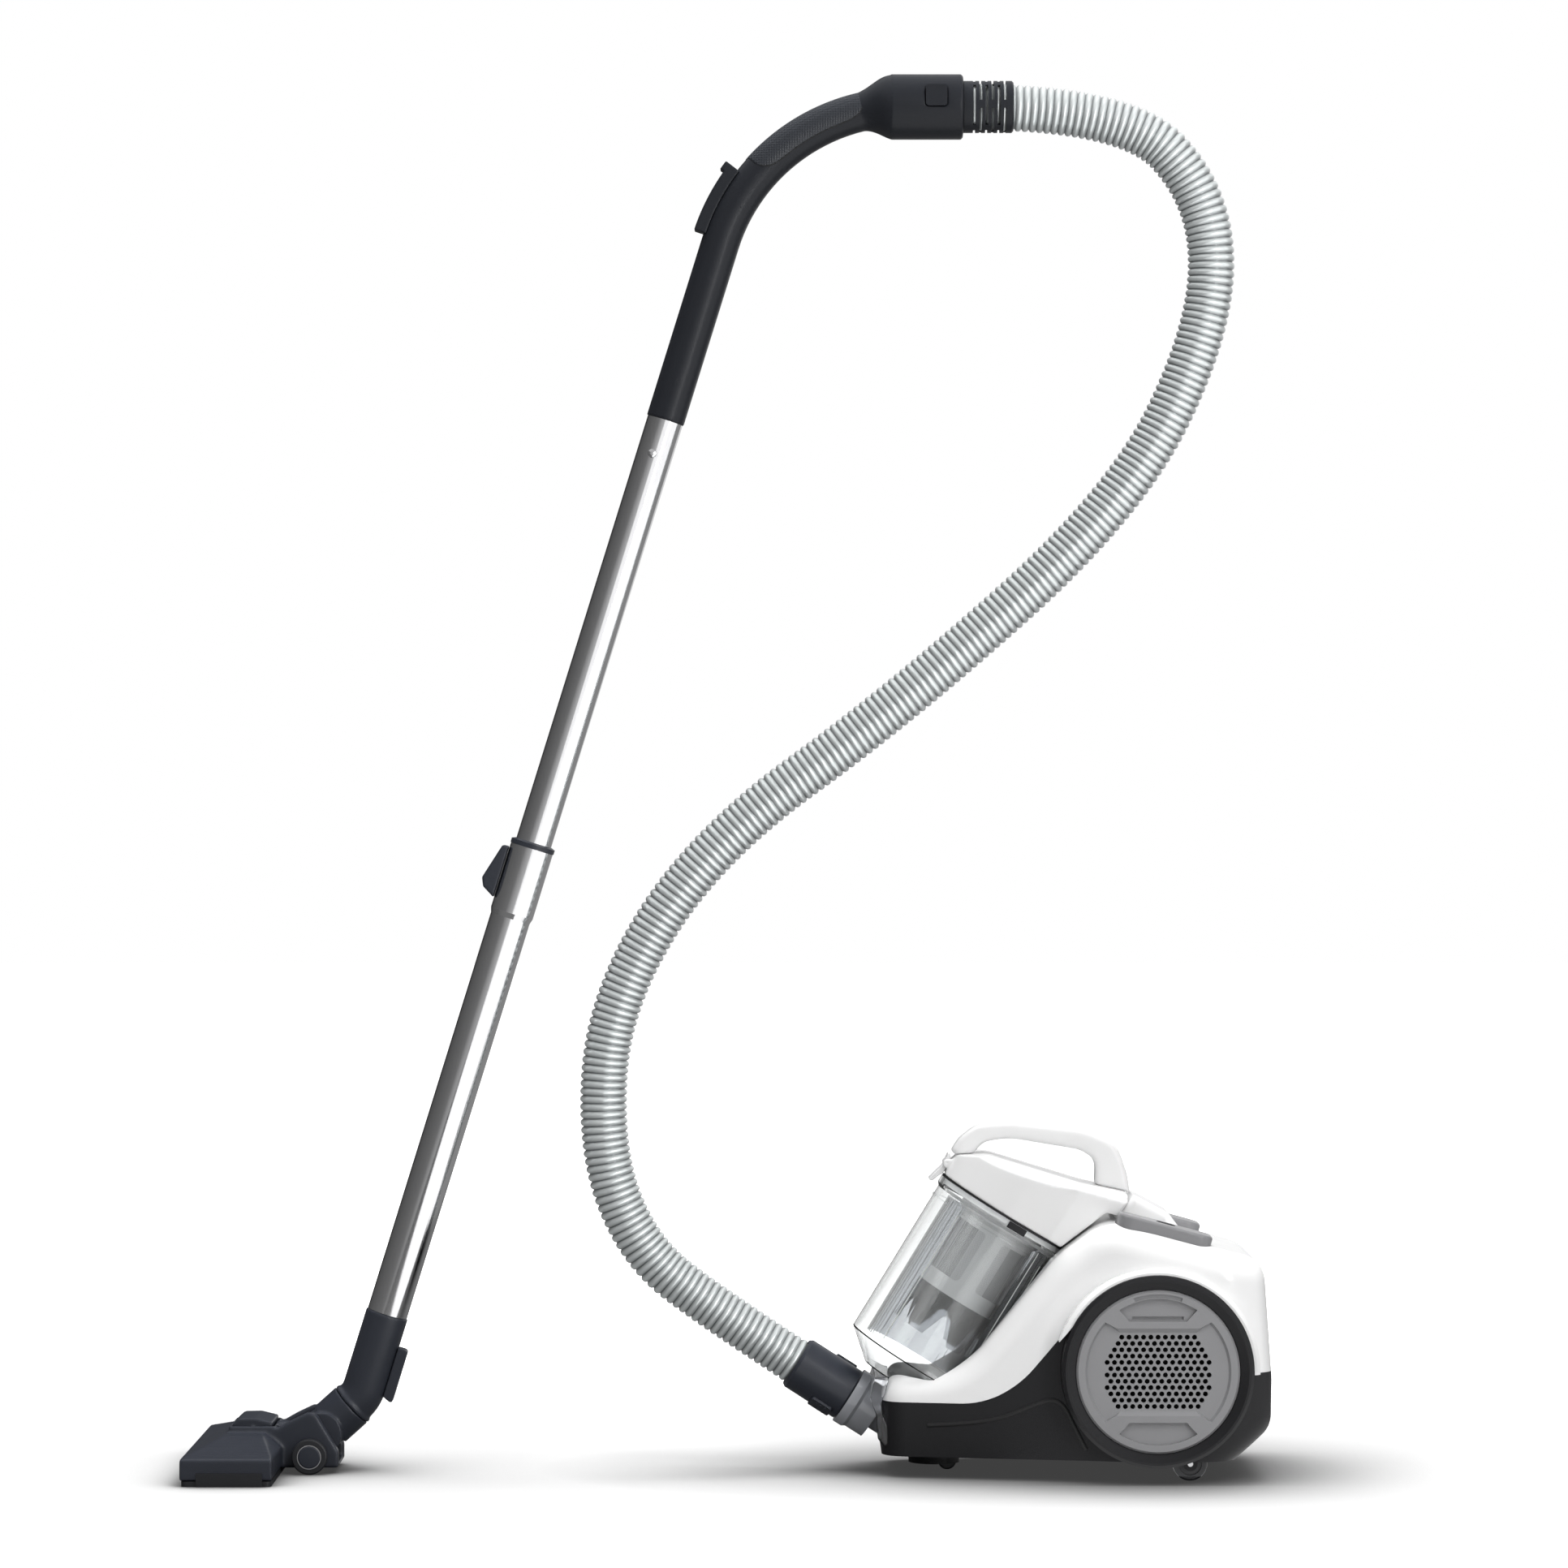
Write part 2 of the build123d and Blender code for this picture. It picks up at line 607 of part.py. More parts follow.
# Dust bin: clear cup with a tapered foot
with BuildPart() as bin_cup:
    turned(
        bin_section,
        (0, -23),
        (42, -23),
        (bin_radius, 0),
        (bin_radius, 153),
        (bin_radius + 2.5, 156),
        (bin_radius + 2.5, cup_height),
        (bin_radius - cup_wall, cup_height),
        (bin_radius - cup_wall, 1.1),
        (41, 2.4 - 23),
        (0, 2.4 - 23),
    )
    rod(port_start, bin_out, 12, 45, mode=Mode.SUBTRACT)
finish(bin_cup, "bin_cup")
with BuildPart() as lid_seal:
    turned(bin_section, (66.8, 163.2), (71, 163.2), (71, 164.8), (66.8, 164.8))
finish(lid_seal, "lid_seal")
core_radius = 38.0
with BuildPart() as cyclone_core:
    turned(
        bin_section,
        (core_radius - 2.5, 72),
        (core_radius, 72),
        (core_radius, 146),
        (core_radius + 5, 150),
        (core_radius + 5, 158),
        (66.3, 158),
        (66.3, 164.6),
        (core_radius - 2.5, 164.6),
    )
    for turn in range(4):
        heading = radians(45 + 90 * turn)
        out = bin_out * cos(heading) + Vector(0, 1, 0) * sin(heading)
        with BuildSketch(Plane(origin=bin_plane.origin + bin_up * 113, x_dir=bin_up, z_dir=out)) as window:
            RectangleRounded(52, 40, 4)
        extrude(window.sketch, amount=60, mode=Mode.SUBTRACT)
finish(cyclone_core, "cyclone_core")
with BuildPart() as cyclone_screen:
    turned(bin_section, (34.4, 76), (35.3, 76), (35.3, 150), (34.4, 150))
finish(cyclone_screen, "cyclone_screen")
skirt_low = 30.0
skirt_peak = 64.0
notch_half = 15.0
with BuildPart() as cyclone_skirt:
    turned(
        bin_section,
        (core_radius - 2, 71.7),
        (core_radius - 2, 66),
        (core_radius + 1, skirt_low),
        (core_radius + 3, skirt_low),
        (core_radius + 1, 66),
        (core_radius + 1, 71.7),
    )
    for turn in range(6):
        heading = radians(30 + 60 * turn)
        out = bin_out * cos(heading) + Vector(0, 1, 0) * sin(heading)
        along = bin_out * -sin(heading) + Vector(0, 1, 0) * cos(heading)
        with BuildSketch(Plane(origin=bin_plane.origin, x_dir=along, z_dir=out)) as notch:
            with BuildLine():
                FilletPolyline(
                    (-notch_half, skirt_low - 6),
                    (0, skirt_peak),
                    (notch_half, skirt_low - 6),
                    radius=[5],
                )
                Line((notch_half, skirt_low - 6), (-notch_half, skirt_low - 6))
            make_face()
        extrude(notch.sketch, amount=core_radius + 10, mode=Mode.SUBTRACT)
finish(cyclone_skirt, "cyclone_skirt")

# Lid, its foam filter, carry handle and latch
latch_x = 203.5
latch_z = 287.0
crown_start = Vector(241, 0, 296.5)
crown_run = Vector(328, 0, 270) - crown_start
crown_flat = 34.0
crown_edge = 95.0
crown_drop = 12.0
with BuildPart() as lid_slopes:
    for side in (-1, 1):
        place = Plane(origin=crown_start - crown_run, x_dir=(0, 1, 0), z_dir=crown_run)
        down = 1 if place.y_dir.Z < 0 else -1
        with BuildSketch(place) as slope:
            with BuildLine():
                Polyline(
                    (side * crown_flat, 0),
                    (side * crown_edge, down * crown_drop),
                    (side * crown_edge, -down * 40),
                    (side * crown_flat, -down * 40),
                    close=True,
                )
            make_face()
        extrude(slope.sketch, amount=4 * crown_run.length)
with BuildPart() as bin_lid:
    slab(
        Plane.XZ,
        [
            (200.5, 277),
            (307.5, 211.8),
            (350, 243.6),
            (361.5, 240.6),
            (375, 259.8),
            (328, 270),
            (241, 296.5),
            (211, 295),
        ],
        [3, 0, 0, 0, 5, 60, 26, 10],
        90,
    )
    with BuildSketch(bin_plane) as cap:
        Circle(bin_radius + 3)
        with BuildLine():
            FilletPolyline(
                (0, -64),
                (118, -50),
                (160, -50),
                (160, 50),
                (118, 50),
                (0, 64),
                radius=20,
                close=True,
            )
        make_face()
    extrude(cap.sketch, amount=400, mode=Mode.INTERSECT)
    add(lid_slopes.part, mode=Mode.SUBTRACT)
    turned(bin_section, (0, 150), (60, 150), (60, 184), (0, 184), mode=Mode.SUBTRACT)
    slab(
        Plane.XZ,
        [(228, 284), (243, 291.3), (326, 265.3), (352, 259.8), (348.5, 248.4), (316, 221.6), (280, 230)],
        [0, 12, 0, 3, 3, 0, 0],
        44,
        mode=Mode.SUBTRACT,
    )
    turned(bin_section, (0, 100), (90, 100), (90, lid_height), (0, lid_height), mode=Mode.SUBTRACT)
    for side in (-1, 1):
        slab(
            Plane.XZ.offset(-side * 14.3),
            [
                (latch_x - 4.5, latch_z - 4),
                (latch_x + 16, latch_z - 4),
                (latch_x + 16, latch_z + 4),
                (latch_x - 3, latch_z + 4),
            ],
            [3, 0, 0, 3],
            1.8,
        )
        rod((latch_x, side * 10, latch_z), (0, side, 0), 1.5 + run_gap, 8, mode=Mode.SUBTRACT)
finish(bin_lid, "bin_lid")
with BuildPart() as foam_filter:
    turned(bin_section, (0, 164.9), (59.5, 164.9), (59.5, 183.5), (0, 183.5))
finish(foam_filter, "foam_filter")
handle_half = 15.0
with BuildPart() as carry_handle:
    slab(
        Plane.XZ,
        [
            (214, 292),
            (207.4, 298.2),
            (214.8, 309.8),
            (231, 322.6),
            (262, 325.4),
            (330, 318.4),
            (362, 306),
            (372.6, 276),
            (374.6, 259),
            (360, 259),
            (341.6, 262),
            (342.6, 291),
            (326, 299.6),
            (262, 310.2),
            (238, 306.6),
            (226, 293),
        ],
        [0, 0, 20, 24, 60, 60, 26, 60, 0, 0, 0, 14, 24, 60, 16, 0],
        handle_half,
    )
    fillet(carry_handle.edges().filter_by(lambda edge: abs(edge.center().Y) > handle_half - 1), 5)
    add(bin_lid.part, mode=Mode.SUBTRACT)
finish(carry_handle, "carry_handle")
with BuildPart() as lid_latch:
    slab(
        Plane.XZ,
        [
            (185.3, 271.5),
            (190, 270.5),
            (197, 275.8),
            (200, 277.3),
            (205, 286),
            (207.6, 294.4),
            (204.9, 296.6),
            (199.5, 285),
        ],
        [1.5, 1.5, 2, 0, 0, 0.6, 0.6, 4],
        12,
    )
    rod((latch_x, -15.5, latch_z), (0, 1, 0), 1.5, 31)
finish(lid_latch, "lid_latch")

# Handle frame: wand axis, bend and the level socket of the hose
wand_turn = radians(wand_lean)
wand_up = Vector(sin(wand_turn), 0, cos(wand_turn))
wand_side = Vector(cos(wand_turn), 0, -sin(wand_turn))
handle_z = 981.5
handle_end = Vector(wand_x + (handle_z - wand_z) * tan(wand_turn), 0, handle_z)
handle_straight = 173.3
bend_start = handle_end + wand_up * handle_straight
bend_centre = bend_start + wand_side * bend_radius
bend_end = bend_centre + Vector(0, 0, bend_radius)
socket_z = bend_end.Z
socket_end = 219.0
spigot_length = 45.0
wand_section = leaning(handle_end.X, handle_end.Z, wand_lean)
socket_section = Plane(origin=(0, 0, socket_z), x_dir=(0, 0, 1), z_dir=(0, 1, 0))


def bend_place(angle):
    """Plane through the bend axis, own X outwards and own Y across"""
    turn = radians(angle)
    return Plane(origin=bend_centre, x_dir=(cos(turn), 0, sin(turn)), z_dir=(-sin(turn), 0, cos(turn)))


def bend_path(start, stop_x):
    """Middle line of the handle"""
    half = radians(135 - wand_lean / 2)
    middle = bend_centre + Vector(cos(half), 0, sin(half)) * bend_radius
    with BuildLine() as path:
        Line(start, bend_start)
        ThreePointArc(bend_start, middle, bend_end)
        Line(bend_end, (stop_x, 0, socket_z))
    return path.wire()


spigot_radius = upper_radius - tube_wall - run_gap
swivel_radius = 20.0
button_x = 193.6
button_z = socket_z + 7.5
flare_angles = (105, 101.5, 98, 95.5, 93)
flare_radii = (handle_radius - 0.5, 19.8, 25.5, 29.3, socket_radius - 0.4)
with BuildPart() as flare:
    for angle, radius in zip(flare_angles, flare_radii):
        with BuildSketch(bend_place(angle)):
            with Locations((bend_radius, 0)):
                Circle(radius)
    loft()
with BuildPart() as handle_tube:
    with BuildSketch(Plane(origin=handle_end, z_dir=wand_up)) as skin:
        Circle(handle_radius)
    sweep(skin.sketch, path=bend_path(handle_end, 175))
    turned(
        socket_section,
        (0, 152),
        (socket_radius, 152),
        (socket_radius, socket_end - 2),
        (socket_radius - 2, socket_end),
        (0, socket_end),
    )
    add(flare.part)
    rod(handle_end, wand_up * -1, spigot_radius, spigot_length)
    tip = handle_end - wand_up * spigot_length
    with BuildSketch(Plane(origin=tip, z_dir=wand_up)) as bore:
        Circle(13.5)
    sweep(bore.sketch, path=bend_path(tip, 182), mode=Mode.SUBTRACT)
    turned(
        socket_section,
        (0, 178),
        (swivel_radius + run_gap, 178),
        (swivel_radius + run_gap, socket_end + 1),
        (0, socket_end + 1),
        mode=Mode.SUBTRACT,
    )
    for side in (-1, 1):
        with BuildSketch(Plane(origin=(button_x, side * 24.5, button_z), z_dir=(0, side, 0))) as pocket:
            RectangleRounded(20.6, 20.6, 3.3)
        extrude(pocket.sketch, amount=20, mode=Mode.SUBTRACT)
    port_angle = radians(153)
    port_dir = Vector(cos(port_angle), 0, sin(port_angle))
    rod(bend_centre + port_dir * bend_radius, port_dir, 5, 30, mode=Mode.SUBTRACT)
finish(handle_tube, "handle_tube")
for side, name in ((-1, "left"), (1, "right")):
    with BuildPart() as button:
        with BuildSketch(Plane(origin=(button_x, side * 26.8, button_z), z_dir=(0, side, 0))) as outline:
            RectangleRounded(20, 20, 3)
        extrude(outline.sketch, amount=5)
    finish(button, "release_button_" + name)
with BuildPart() as handle_grip:
    with BuildSketch(bend_place(107.6)) as pad:
        with Locations((bend_radius, 0)):
            Circle(handle_radius + 2)
            Circle(handle_radius + 0.2, mode=Mode.SUBTRACT)
        with Locations((bend_radius + 16, 0)):
            Rectangle(20, 60, mode=Mode.INTERSECT)
    revolve(pad.sketch, axis=Axis(bend_centre, (0, -1, 0)), revolution_arc=32.9)
finish(handle_grip, "handle_grip")
with BuildPart() as air_regulator:
    for first, sweep_arc, height in ((143, 18.5, 27), (142.2, 2.5, 31)):
        with BuildSketch(bend_place(first)) as saddle:
            with Locations((bend_radius + (12 + height) / 2, 0)):
                Rectangle(height - 12, 22)
            with Locations((bend_radius, 0)):
                Circle(handle_radius + seat_gap, mode=Mode.SUBTRACT)
        revolve(saddle.sketch, axis=Axis(bend_centre, (0, -1, 0)), revolution_arc=sweep_arc)
finish(air_regulator, "air_regulator")

# Hose: sleeve at the handle, ribbed tube and cuff at the canister
sleeve_end = 266.0
hose_start = 226.0
slot_count = 6
slot_pitch = 5.7
slot_width = 2.4
slot_arc = 102.0
with BuildPart() as hose_sleeve:
    turned(
        socket_section,
        (hose_bore, 182),
        (swivel_radius, 182),
        (swivel_radius, socket_end + 0.5),
        (sleeve_radius, socket_end + 0.5),
        (sleeve_radius, sleeve_end - 1.5),
        (sleeve_radius - 1.5, sleeve_end),
        (hose_radius + seat_gap, sleeve_end),
        (hose_radius + seat_gap, hose_start - 0.4),
        (hose_bore, hose_start - 0.4),
    )
    for row in range(slot_count):
        slot_x = hose_start + 3.4 + slot_pitch * row
        for turn in range(3):
            heading = radians(120 * turn + 60 * (row % 2) + 180 - slot_arc / 2)
            out = Vector(0, cos(heading), sin(heading))
            facing = out.cross(Vector(1, 0, 0))
            with BuildSketch(Plane(origin=(slot_x, 0, socket_z), x_dir=out, z_dir=facing)) as slot:
                with Locations((hose_radius + 3, 0)):
                    Rectangle(6.2, slot_width)
            revolve(
                slot.sketch,
                axis=Axis((slot_x, 0, socket_z), (1, 0, 0)),
                revolution_arc=slot_arc,
                mode=Mode.SUBTRACT,
            )
finish(hose_sleeve, "hose_sleeve")
cuff_mouth = inlet_start - inlet_dir * cuff_length
hose_stop = cuff_mouth + inlet_dir * 28
hose_route = [
    Vector(hose_start, 0, socket_z),
    Vector(372, 0, socket_z),
    Vector(451, 0, 1190),
    Vector(452, 0, 1070),
    Vector(372, 0, 905),
    Vector(160, 0, 715),
    Vector(-20, 0, 585),
    Vector(-112, 0, 440),
    Vector(-121, 0, 300),
    Vector(-85, 0, 205),
    cuff_mouth - inlet_dir * 91,
    hose_stop,
]
hose_radii = []
for before, corner, after in zip(hose_route, hose_route[1:], hose_route[2:]):
    turn_angle = radians((corner - before).get_angle(after - corner))
    shorter = min((corner - before).length, (after - corner).length)
    hose_radii.append(0.45 * shorter / tan(turn_angle / 2))
print("hose radii", [round(radius) for radius in hose_radii])
with BuildPart() as hose:
    with BuildLine() as hose_path:
        FilletPolyline(*hose_route, radius=hose_radii)
    hose_wire = hose_path.wire()
    hose_length = hose_wire.length
    for step in range(4 * rib_count + 1):
        reach = hose_length * step / (4 * rib_count)
        spot = hose_wire.position_at(reach, PositionMode.LENGTH)
        heading = hose_wire.tangent_at(reach, PositionMode.LENGTH)
        with BuildSketch(Plane(origin=spot, x_dir=(0, 1, 0), z_dir=heading)):
            Circle(hose_radius if step % 4 in (1, 2) else hose_valley)
    loft(ruled=True)
    with BuildSketch(Plane(origin=hose_route[0], z_dir=(1, 0, 0))) as hose_hole:
        Circle(hose_bore)
    sweep(hose_hole.sketch, path=hose_wire, mode=Mode.SUBTRACT)
ratio = hose.part.volume / (hose_length * pi * (20.7 ** 2 - hose_bore ** 2))
print("hose length", round(hose_length), "volume against section times length", round(ratio, 3))
finish(hose, "hose")
latch_heading = radians(-60)
latch_from_spout = 18.0
cuff_under = Vector(-sin(inlet_turn), 0, -cos(inlet_turn))
latch_out = Vector(0, -1, 0) * cos(latch_heading) + cuff_under * -sin(latch_heading)
cuff_middle = inlet_start - inlet_dir * latch_from_spout


def cuff_latch_place(way, radius):
    """Plane on the cuff under one latch button"""
    out = latch_out * way
    return Plane(origin=cuff_middle + out * radius, x_dir=inlet_dir, z_dir=out)


with BuildPart() as hose_cuff:
    turned(
        inlet_section,
        (14, 28),
        (spout_bore - run_gap, 28),
        (spout_bore - run_gap, -0.5),
        (cuff_radius - 1, -0.5),
        (cuff_radius, -1.5),
        (cuff_radius, 3 - cuff_length),
        (cuff_radius - 2, -cuff_length),
        (hose_radius + seat_gap, -cuff_length),
        (hose_radius + seat_gap, 28.4 - cuff_length),
        (14, 28.4 - cuff_length),
    )
    for way in (-1, 1):
        with BuildSketch(cuff_latch_place(way, 19)) as pocket:
            RectangleRounded(22.6, 16.6, 2.3)
        extrude(pocket.sketch, amount=12, mode=Mode.SUBTRACT)
finish(hose_cuff, "hose_cuff")
for way, name in ((1, "near"), (-1, "far")):
    with BuildPart() as latch_button:
        with BuildSketch(cuff_latch_place(way, 22)) as outline:
            RectangleRounded(22, 16, 2)
        extrude(outline.sketch, amount=4.6)
        with BuildSketch(cuff_latch_place(way, 26)) as ridges:
            with GridLocations(5, 1, 3, 1):
                Rectangle(2, 12)
        extrude(ridges.sketch, amount=1.6)
    finish(latch_button, "cuff_latch_" + name)

# Wand: inner tube, outer tube with its collar, ring and lock button
collar_top = -418.0
collar_low = -483.0
neck_top = -875.6
overlap = 62.0
slide_bore = upper_radius + run_gap
with BuildPart() as upper_tube:
    turned(
        wand_section,
        (upper_radius - tube_wall, -0.4),
        (upper_radius, -0.4),
        (upper_radius, collar_top - overlap),
        (upper_radius - tube_wall, collar_top - overlap),
    )
finish(upper_tube, "upper_tube")
with BuildPart() as lower_tube:
    turned(
        wand_section,
        (slide_bore, neck_top + 0.4),
        (lower_radius, neck_top + 0.4),
        (lower_radius, collar_low - 5),
        (collar_radius, collar_low),
        (collar_radius, collar_top - 2),
        (slide_bore, collar_top - 2),
    )
finish(lower_tube, "lower_tube")
with BuildPart() as collar_ring:
    turned(
        wand_section,
        (slide_bore + 0.2, collar_top - 1.7),
        (collar_radius + 0.6, collar_top - 1.7),
        (collar_radius + 0.6, collar_top + 2.5),
        (slide_bore + 0.2, collar_top + 4),
    )
finish(collar_ring, "collar_ring")
with BuildPart() as lock_button:
    face_x = -collar_radius - seat_gap
    slab(
        wand_section,
        [(face_x, -424), (-27, -424.5), (-36.5, -459), (-33, -467), (face_x, -474)],
        [0, 2, 3, 2, 0],
        9,
    )
    fillet(lock_button.edges().filter_by(lambda edge: abs(edge.center().Y) > 8.9), 1.5)
finish(lock_button, "lock_button")

# Nozzle neck, elbow and their axes
elbow_turn = radians(elbow_rise)
elbow_up = Vector(cos(elbow_turn), 0, sin(elbow_turn))
neck_point = handle_end + wand_up * neck_top
neck_corner = neck_point - wand_up * 80.8
bevel = neck_corner - elbow_up * 12.6
pivot = bevel - elbow_up * elbow_length
neck_radius = 20.0
neck_bend = 34.0


def neck_path(start):
    """Middle line of the neck from its top to the bevel"""
    with BuildLine() as path:
        FilletPolyline(start, neck_corner, bevel, radius=neck_bend)
    return path.wire()


elbow_section = leaning(bevel.X, bevel.Z, 90 - elbow_rise)
with BuildPart() as nozzle_neck:
    with BuildSketch(Plane(origin=neck_point, z_dir=wand_up * -1)) as skin:
        Circle(neck_radius)
    sweep(skin.sketch, path=neck_path(neck_point))
    turned(elbow_section, (0, 0), (elbow_radius, 0), (elbow_radius, 2.6), (17, 8), (0, 8))
    rod(neck_point, wand_up, slide_bore - run_gap, 40)
    top = neck_point + wand_up * 40
    with BuildSketch(Plane(origin=top, z_dir=wand_up * -1)) as bore:
        Circle(13.5)
    sweep(bore.sketch, path=neck_path(top), mode=Mode.SUBTRACT)
    rod(bevel - elbow_up, elbow_up, 16 + run_gap, 9, mode=Mode.SUBTRACT)
finish(nozzle_neck, "nozzle_neck")
with BuildPart() as parking_clip:
    clip_x = neck_radius + seat_gap
    slab(
        leaning(neck_point.X, neck_point.Z, wand_lean),
        [(clip_x, -27), (30, -27), (30, -79), (clip_x, -75)],
        [0, 3, 2, 0],
        8,
    )
finish(parking_clip, "parking_clip")
barrel_radius = 20.0
barrel_half = 24.0
with BuildPart() as nozzle_elbow:
    rod(bevel - elbow_up * 0.3, elbow_up * -1, elbow_radius, elbow_length - 10)
    rod((pivot.X, -barrel_half, pivot.Z), (0, 1, 0), barrel_radius, 2 * barrel_half)
    rod(bevel - elbow_up * 2, elbow_up, 16, 9)
    rod(bevel + elbow_up * 10, elbow_up * -1, 13, elbow_length + 10, mode=Mode.SUBTRACT)
    rod(pivot, (-1, 0, 0), 11, 40, mode=Mode.SUBTRACT)
    for side in (-1, 1):
        rod((pivot.X, side * 16, pivot.Z), (0, side, 0), 4 + run_gap, 20, mode=Mode.SUBTRACT)
finish(nozzle_elbow, "nozzle_elbow")

# Floor head with its yoke, sole, brushes, pedal and wheels
head_front = -500.0
head_back = -415.7
hip_z = 25.0
ridge_z = 38.0
ridge_front = -468.0
ridge_back = -431.0
ridge_half = 58.0
sole_top = 5.0
cheek_in = barrel_half + 0.5
cheek_out = 37.5
axle_x = pivot.X - 8.2
rock_x = -443.0
rock_z = 44.5
head_wall = 2.6
pedal_frame_top = 44.0
tube_start = head_back - 6.8


def head_form(inset, low):
    """Low hipped form of the floor head, set in by inset"""
    hip = hip_z - inset / 2
    with BuildPart() as form:
        block(head_front + inset, head_back - inset, inset - head_half, head_half - inset, low, hip)
        with BuildSketch(Plane.XY.offset(hip)):
            with Locations(((head_front + head_back) / 2, 0)):
                Rectangle(head_back - head_front - 2 * inset, 2 * (head_half - inset))
        with BuildSketch(Plane.XY.offset(ridge_z - inset)):
            with Locations(((ridge_front + ridge_back) / 2, 0)):
                Rectangle(ridge_back - ridge_front, 2 * ridge_half)
        loft()
    return form.part


head_skin = head_form(0, sole_top + 0.3)
head_room = head_form(head_wall, 0)
with BuildPart() as nozzle_head:
    add(head_skin)
    add(head_room, mode=Mode.SUBTRACT)
    block(rock_x - 22, rock_x + 21, -36.5, 36.5, 30, pedal_frame_top)
    block(rock_x - 19.5, rock_x + 19.5, -32.3, 32.3, 33, 60, mode=Mode.SUBTRACT)
    for side in (-1, 1):
        rod((rock_x, side * 30, rock_z - 3), (0, side, 0), 2 + run_gap, 5.2, mode=Mode.SUBTRACT)
        slab(
            Plane.XZ.offset(-side * (cheek_in + cheek_out) / 2),
            [
                (head_back - 14, 36),
                (-407, 49),
                (-386, 59),
                (-363, 21),
                (-363, 5.3),
                (head_back - 1, 5.3),
                (head_back - 1, 24),
            ],
            [1, 8, 9, 5, 2, 0, 0],
            (cheek_out - cheek_in) / 2,
        )
    block(head_back - 1, -363, -cheek_out, cheek_out, 5.3, 8.3)
    rod((tube_start, 0, 30), (1, 0, 0), 15, 21.8)
    rod((tube_start + 1.5, 0, 30), (1, 0, 0), 12, 22, mode=Mode.SUBTRACT)
    block(tube_start - 1, tube_start + 3, -11, 11, 14, 25, mode=Mode.SUBTRACT)
    rod((pivot.X, -cheek_in, pivot.Z), (0, 1, 0), barrel_radius + 0.5, 2 * cheek_in, mode=Mode.SUBTRACT)
    for side in (-1, 1):
        rod((pivot.X, side * 17, pivot.Z), (0, side, 0), 4, cheek_out - 17)
        rod((axle_x, side * 20, nozzle_wheel_radius), (0, side, 0), 3.02, 30, mode=Mode.SUBTRACT)
finish(nozzle_head, "nozzle_head")
with BuildPart() as nozzle_axles:
    for side in (-1, 1):
        rod((axle_x, side * (cheek_in + 0.5), nozzle_wheel_radius), (0, side, 0), 3, 23.5)
finish(nozzle_axles, "nozzle_axles")
for side, name in ((-1, "left"), (1, "right")):
    with BuildPart() as roller:
        rod((axle_x, side * (cheek_out + 0.6), nozzle_wheel_radius), (0, side, 0), nozzle_wheel_radius, 10)
        fillet(roller.edges(), 1.6)
        dish = (axle_x, side * (cheek_out + 8.6), nozzle_wheel_radius)
        rod(dish, (0, side, 0), 11.5, 4, mode=Mode.SUBTRACT)
        hub = (axle_x, side * cheek_out, nozzle_wheel_radius)
        rod(hub, (0, side, 0), 3 + run_gap, 20, mode=Mode.SUBTRACT)
    finish(roller, "nozzle_wheel_" + name)
mouth_front = head_front + 30
mouth_back = head_front + 48
brush_front_x = head_front + 13
brush_back_x = head_back - 19
brush_half = 111.5
with BuildPart() as nozzle_sole:
    with BuildSketch(Plane.XY) as outline:
        with Locations(((head_front + head_back) / 2 + 0.4, 0)):
            RectangleRounded(head_back - head_front - 2, 2 * head_half - 2, 5)
        with Locations(((mouth_front + mouth_back) / 2, 0)):
            RectangleRounded(mouth_back - mouth_front, 210, 6, mode=Mode.SUBTRACT)
        for x in (brush_front_x, brush_back_x):
            with Locations((x, 0)):
                Rectangle(4 + 2 * seat_gap, 2 * brush_half + 2 * seat_gap, mode=Mode.SUBTRACT)
    extrude(outline.sketch, amount=sole_top)
finish(nozzle_sole, "nozzle_sole")
with BuildPart() as brush_strips:
    for x in (brush_front_x, brush_back_x):
        block(x - 2, x + 2, -brush_half, brush_half, 0.6, 13)
finish(brush_strips, "brush_strips")
with BuildPart() as foot_pedal:
    slab(
        Plane.XZ,
        [
            (rock_x - 18.6, rock_z + 1),
            (rock_x - 13, rock_z + 6),
            (rock_x + 2, rock_z + 6.5),
            (rock_x + 18.6, rock_z + 2.5),
            (rock_x + 18, rock_z - 3),
            (rock_x, rock_z - 6),
            (rock_x - 18, rock_z - 3),
        ],
        [1.5, 5, 10, 1.5, 1.5, 10, 1.5],
        31.8,
    )
    rod((rock_x, -35, rock_z - 3), (0, 1, 0), 2, 70)
finish(foot_pedal, "foot_pedal")
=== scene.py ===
"""Looks of a canister vacuum cleaner: shell, clear dust bin, ribbed hose, chrome wand, floor nozzle."""
import json
from math import cos, pi, radians, sin

import bmesh
import bpy
from mathutils import Matrix, Vector


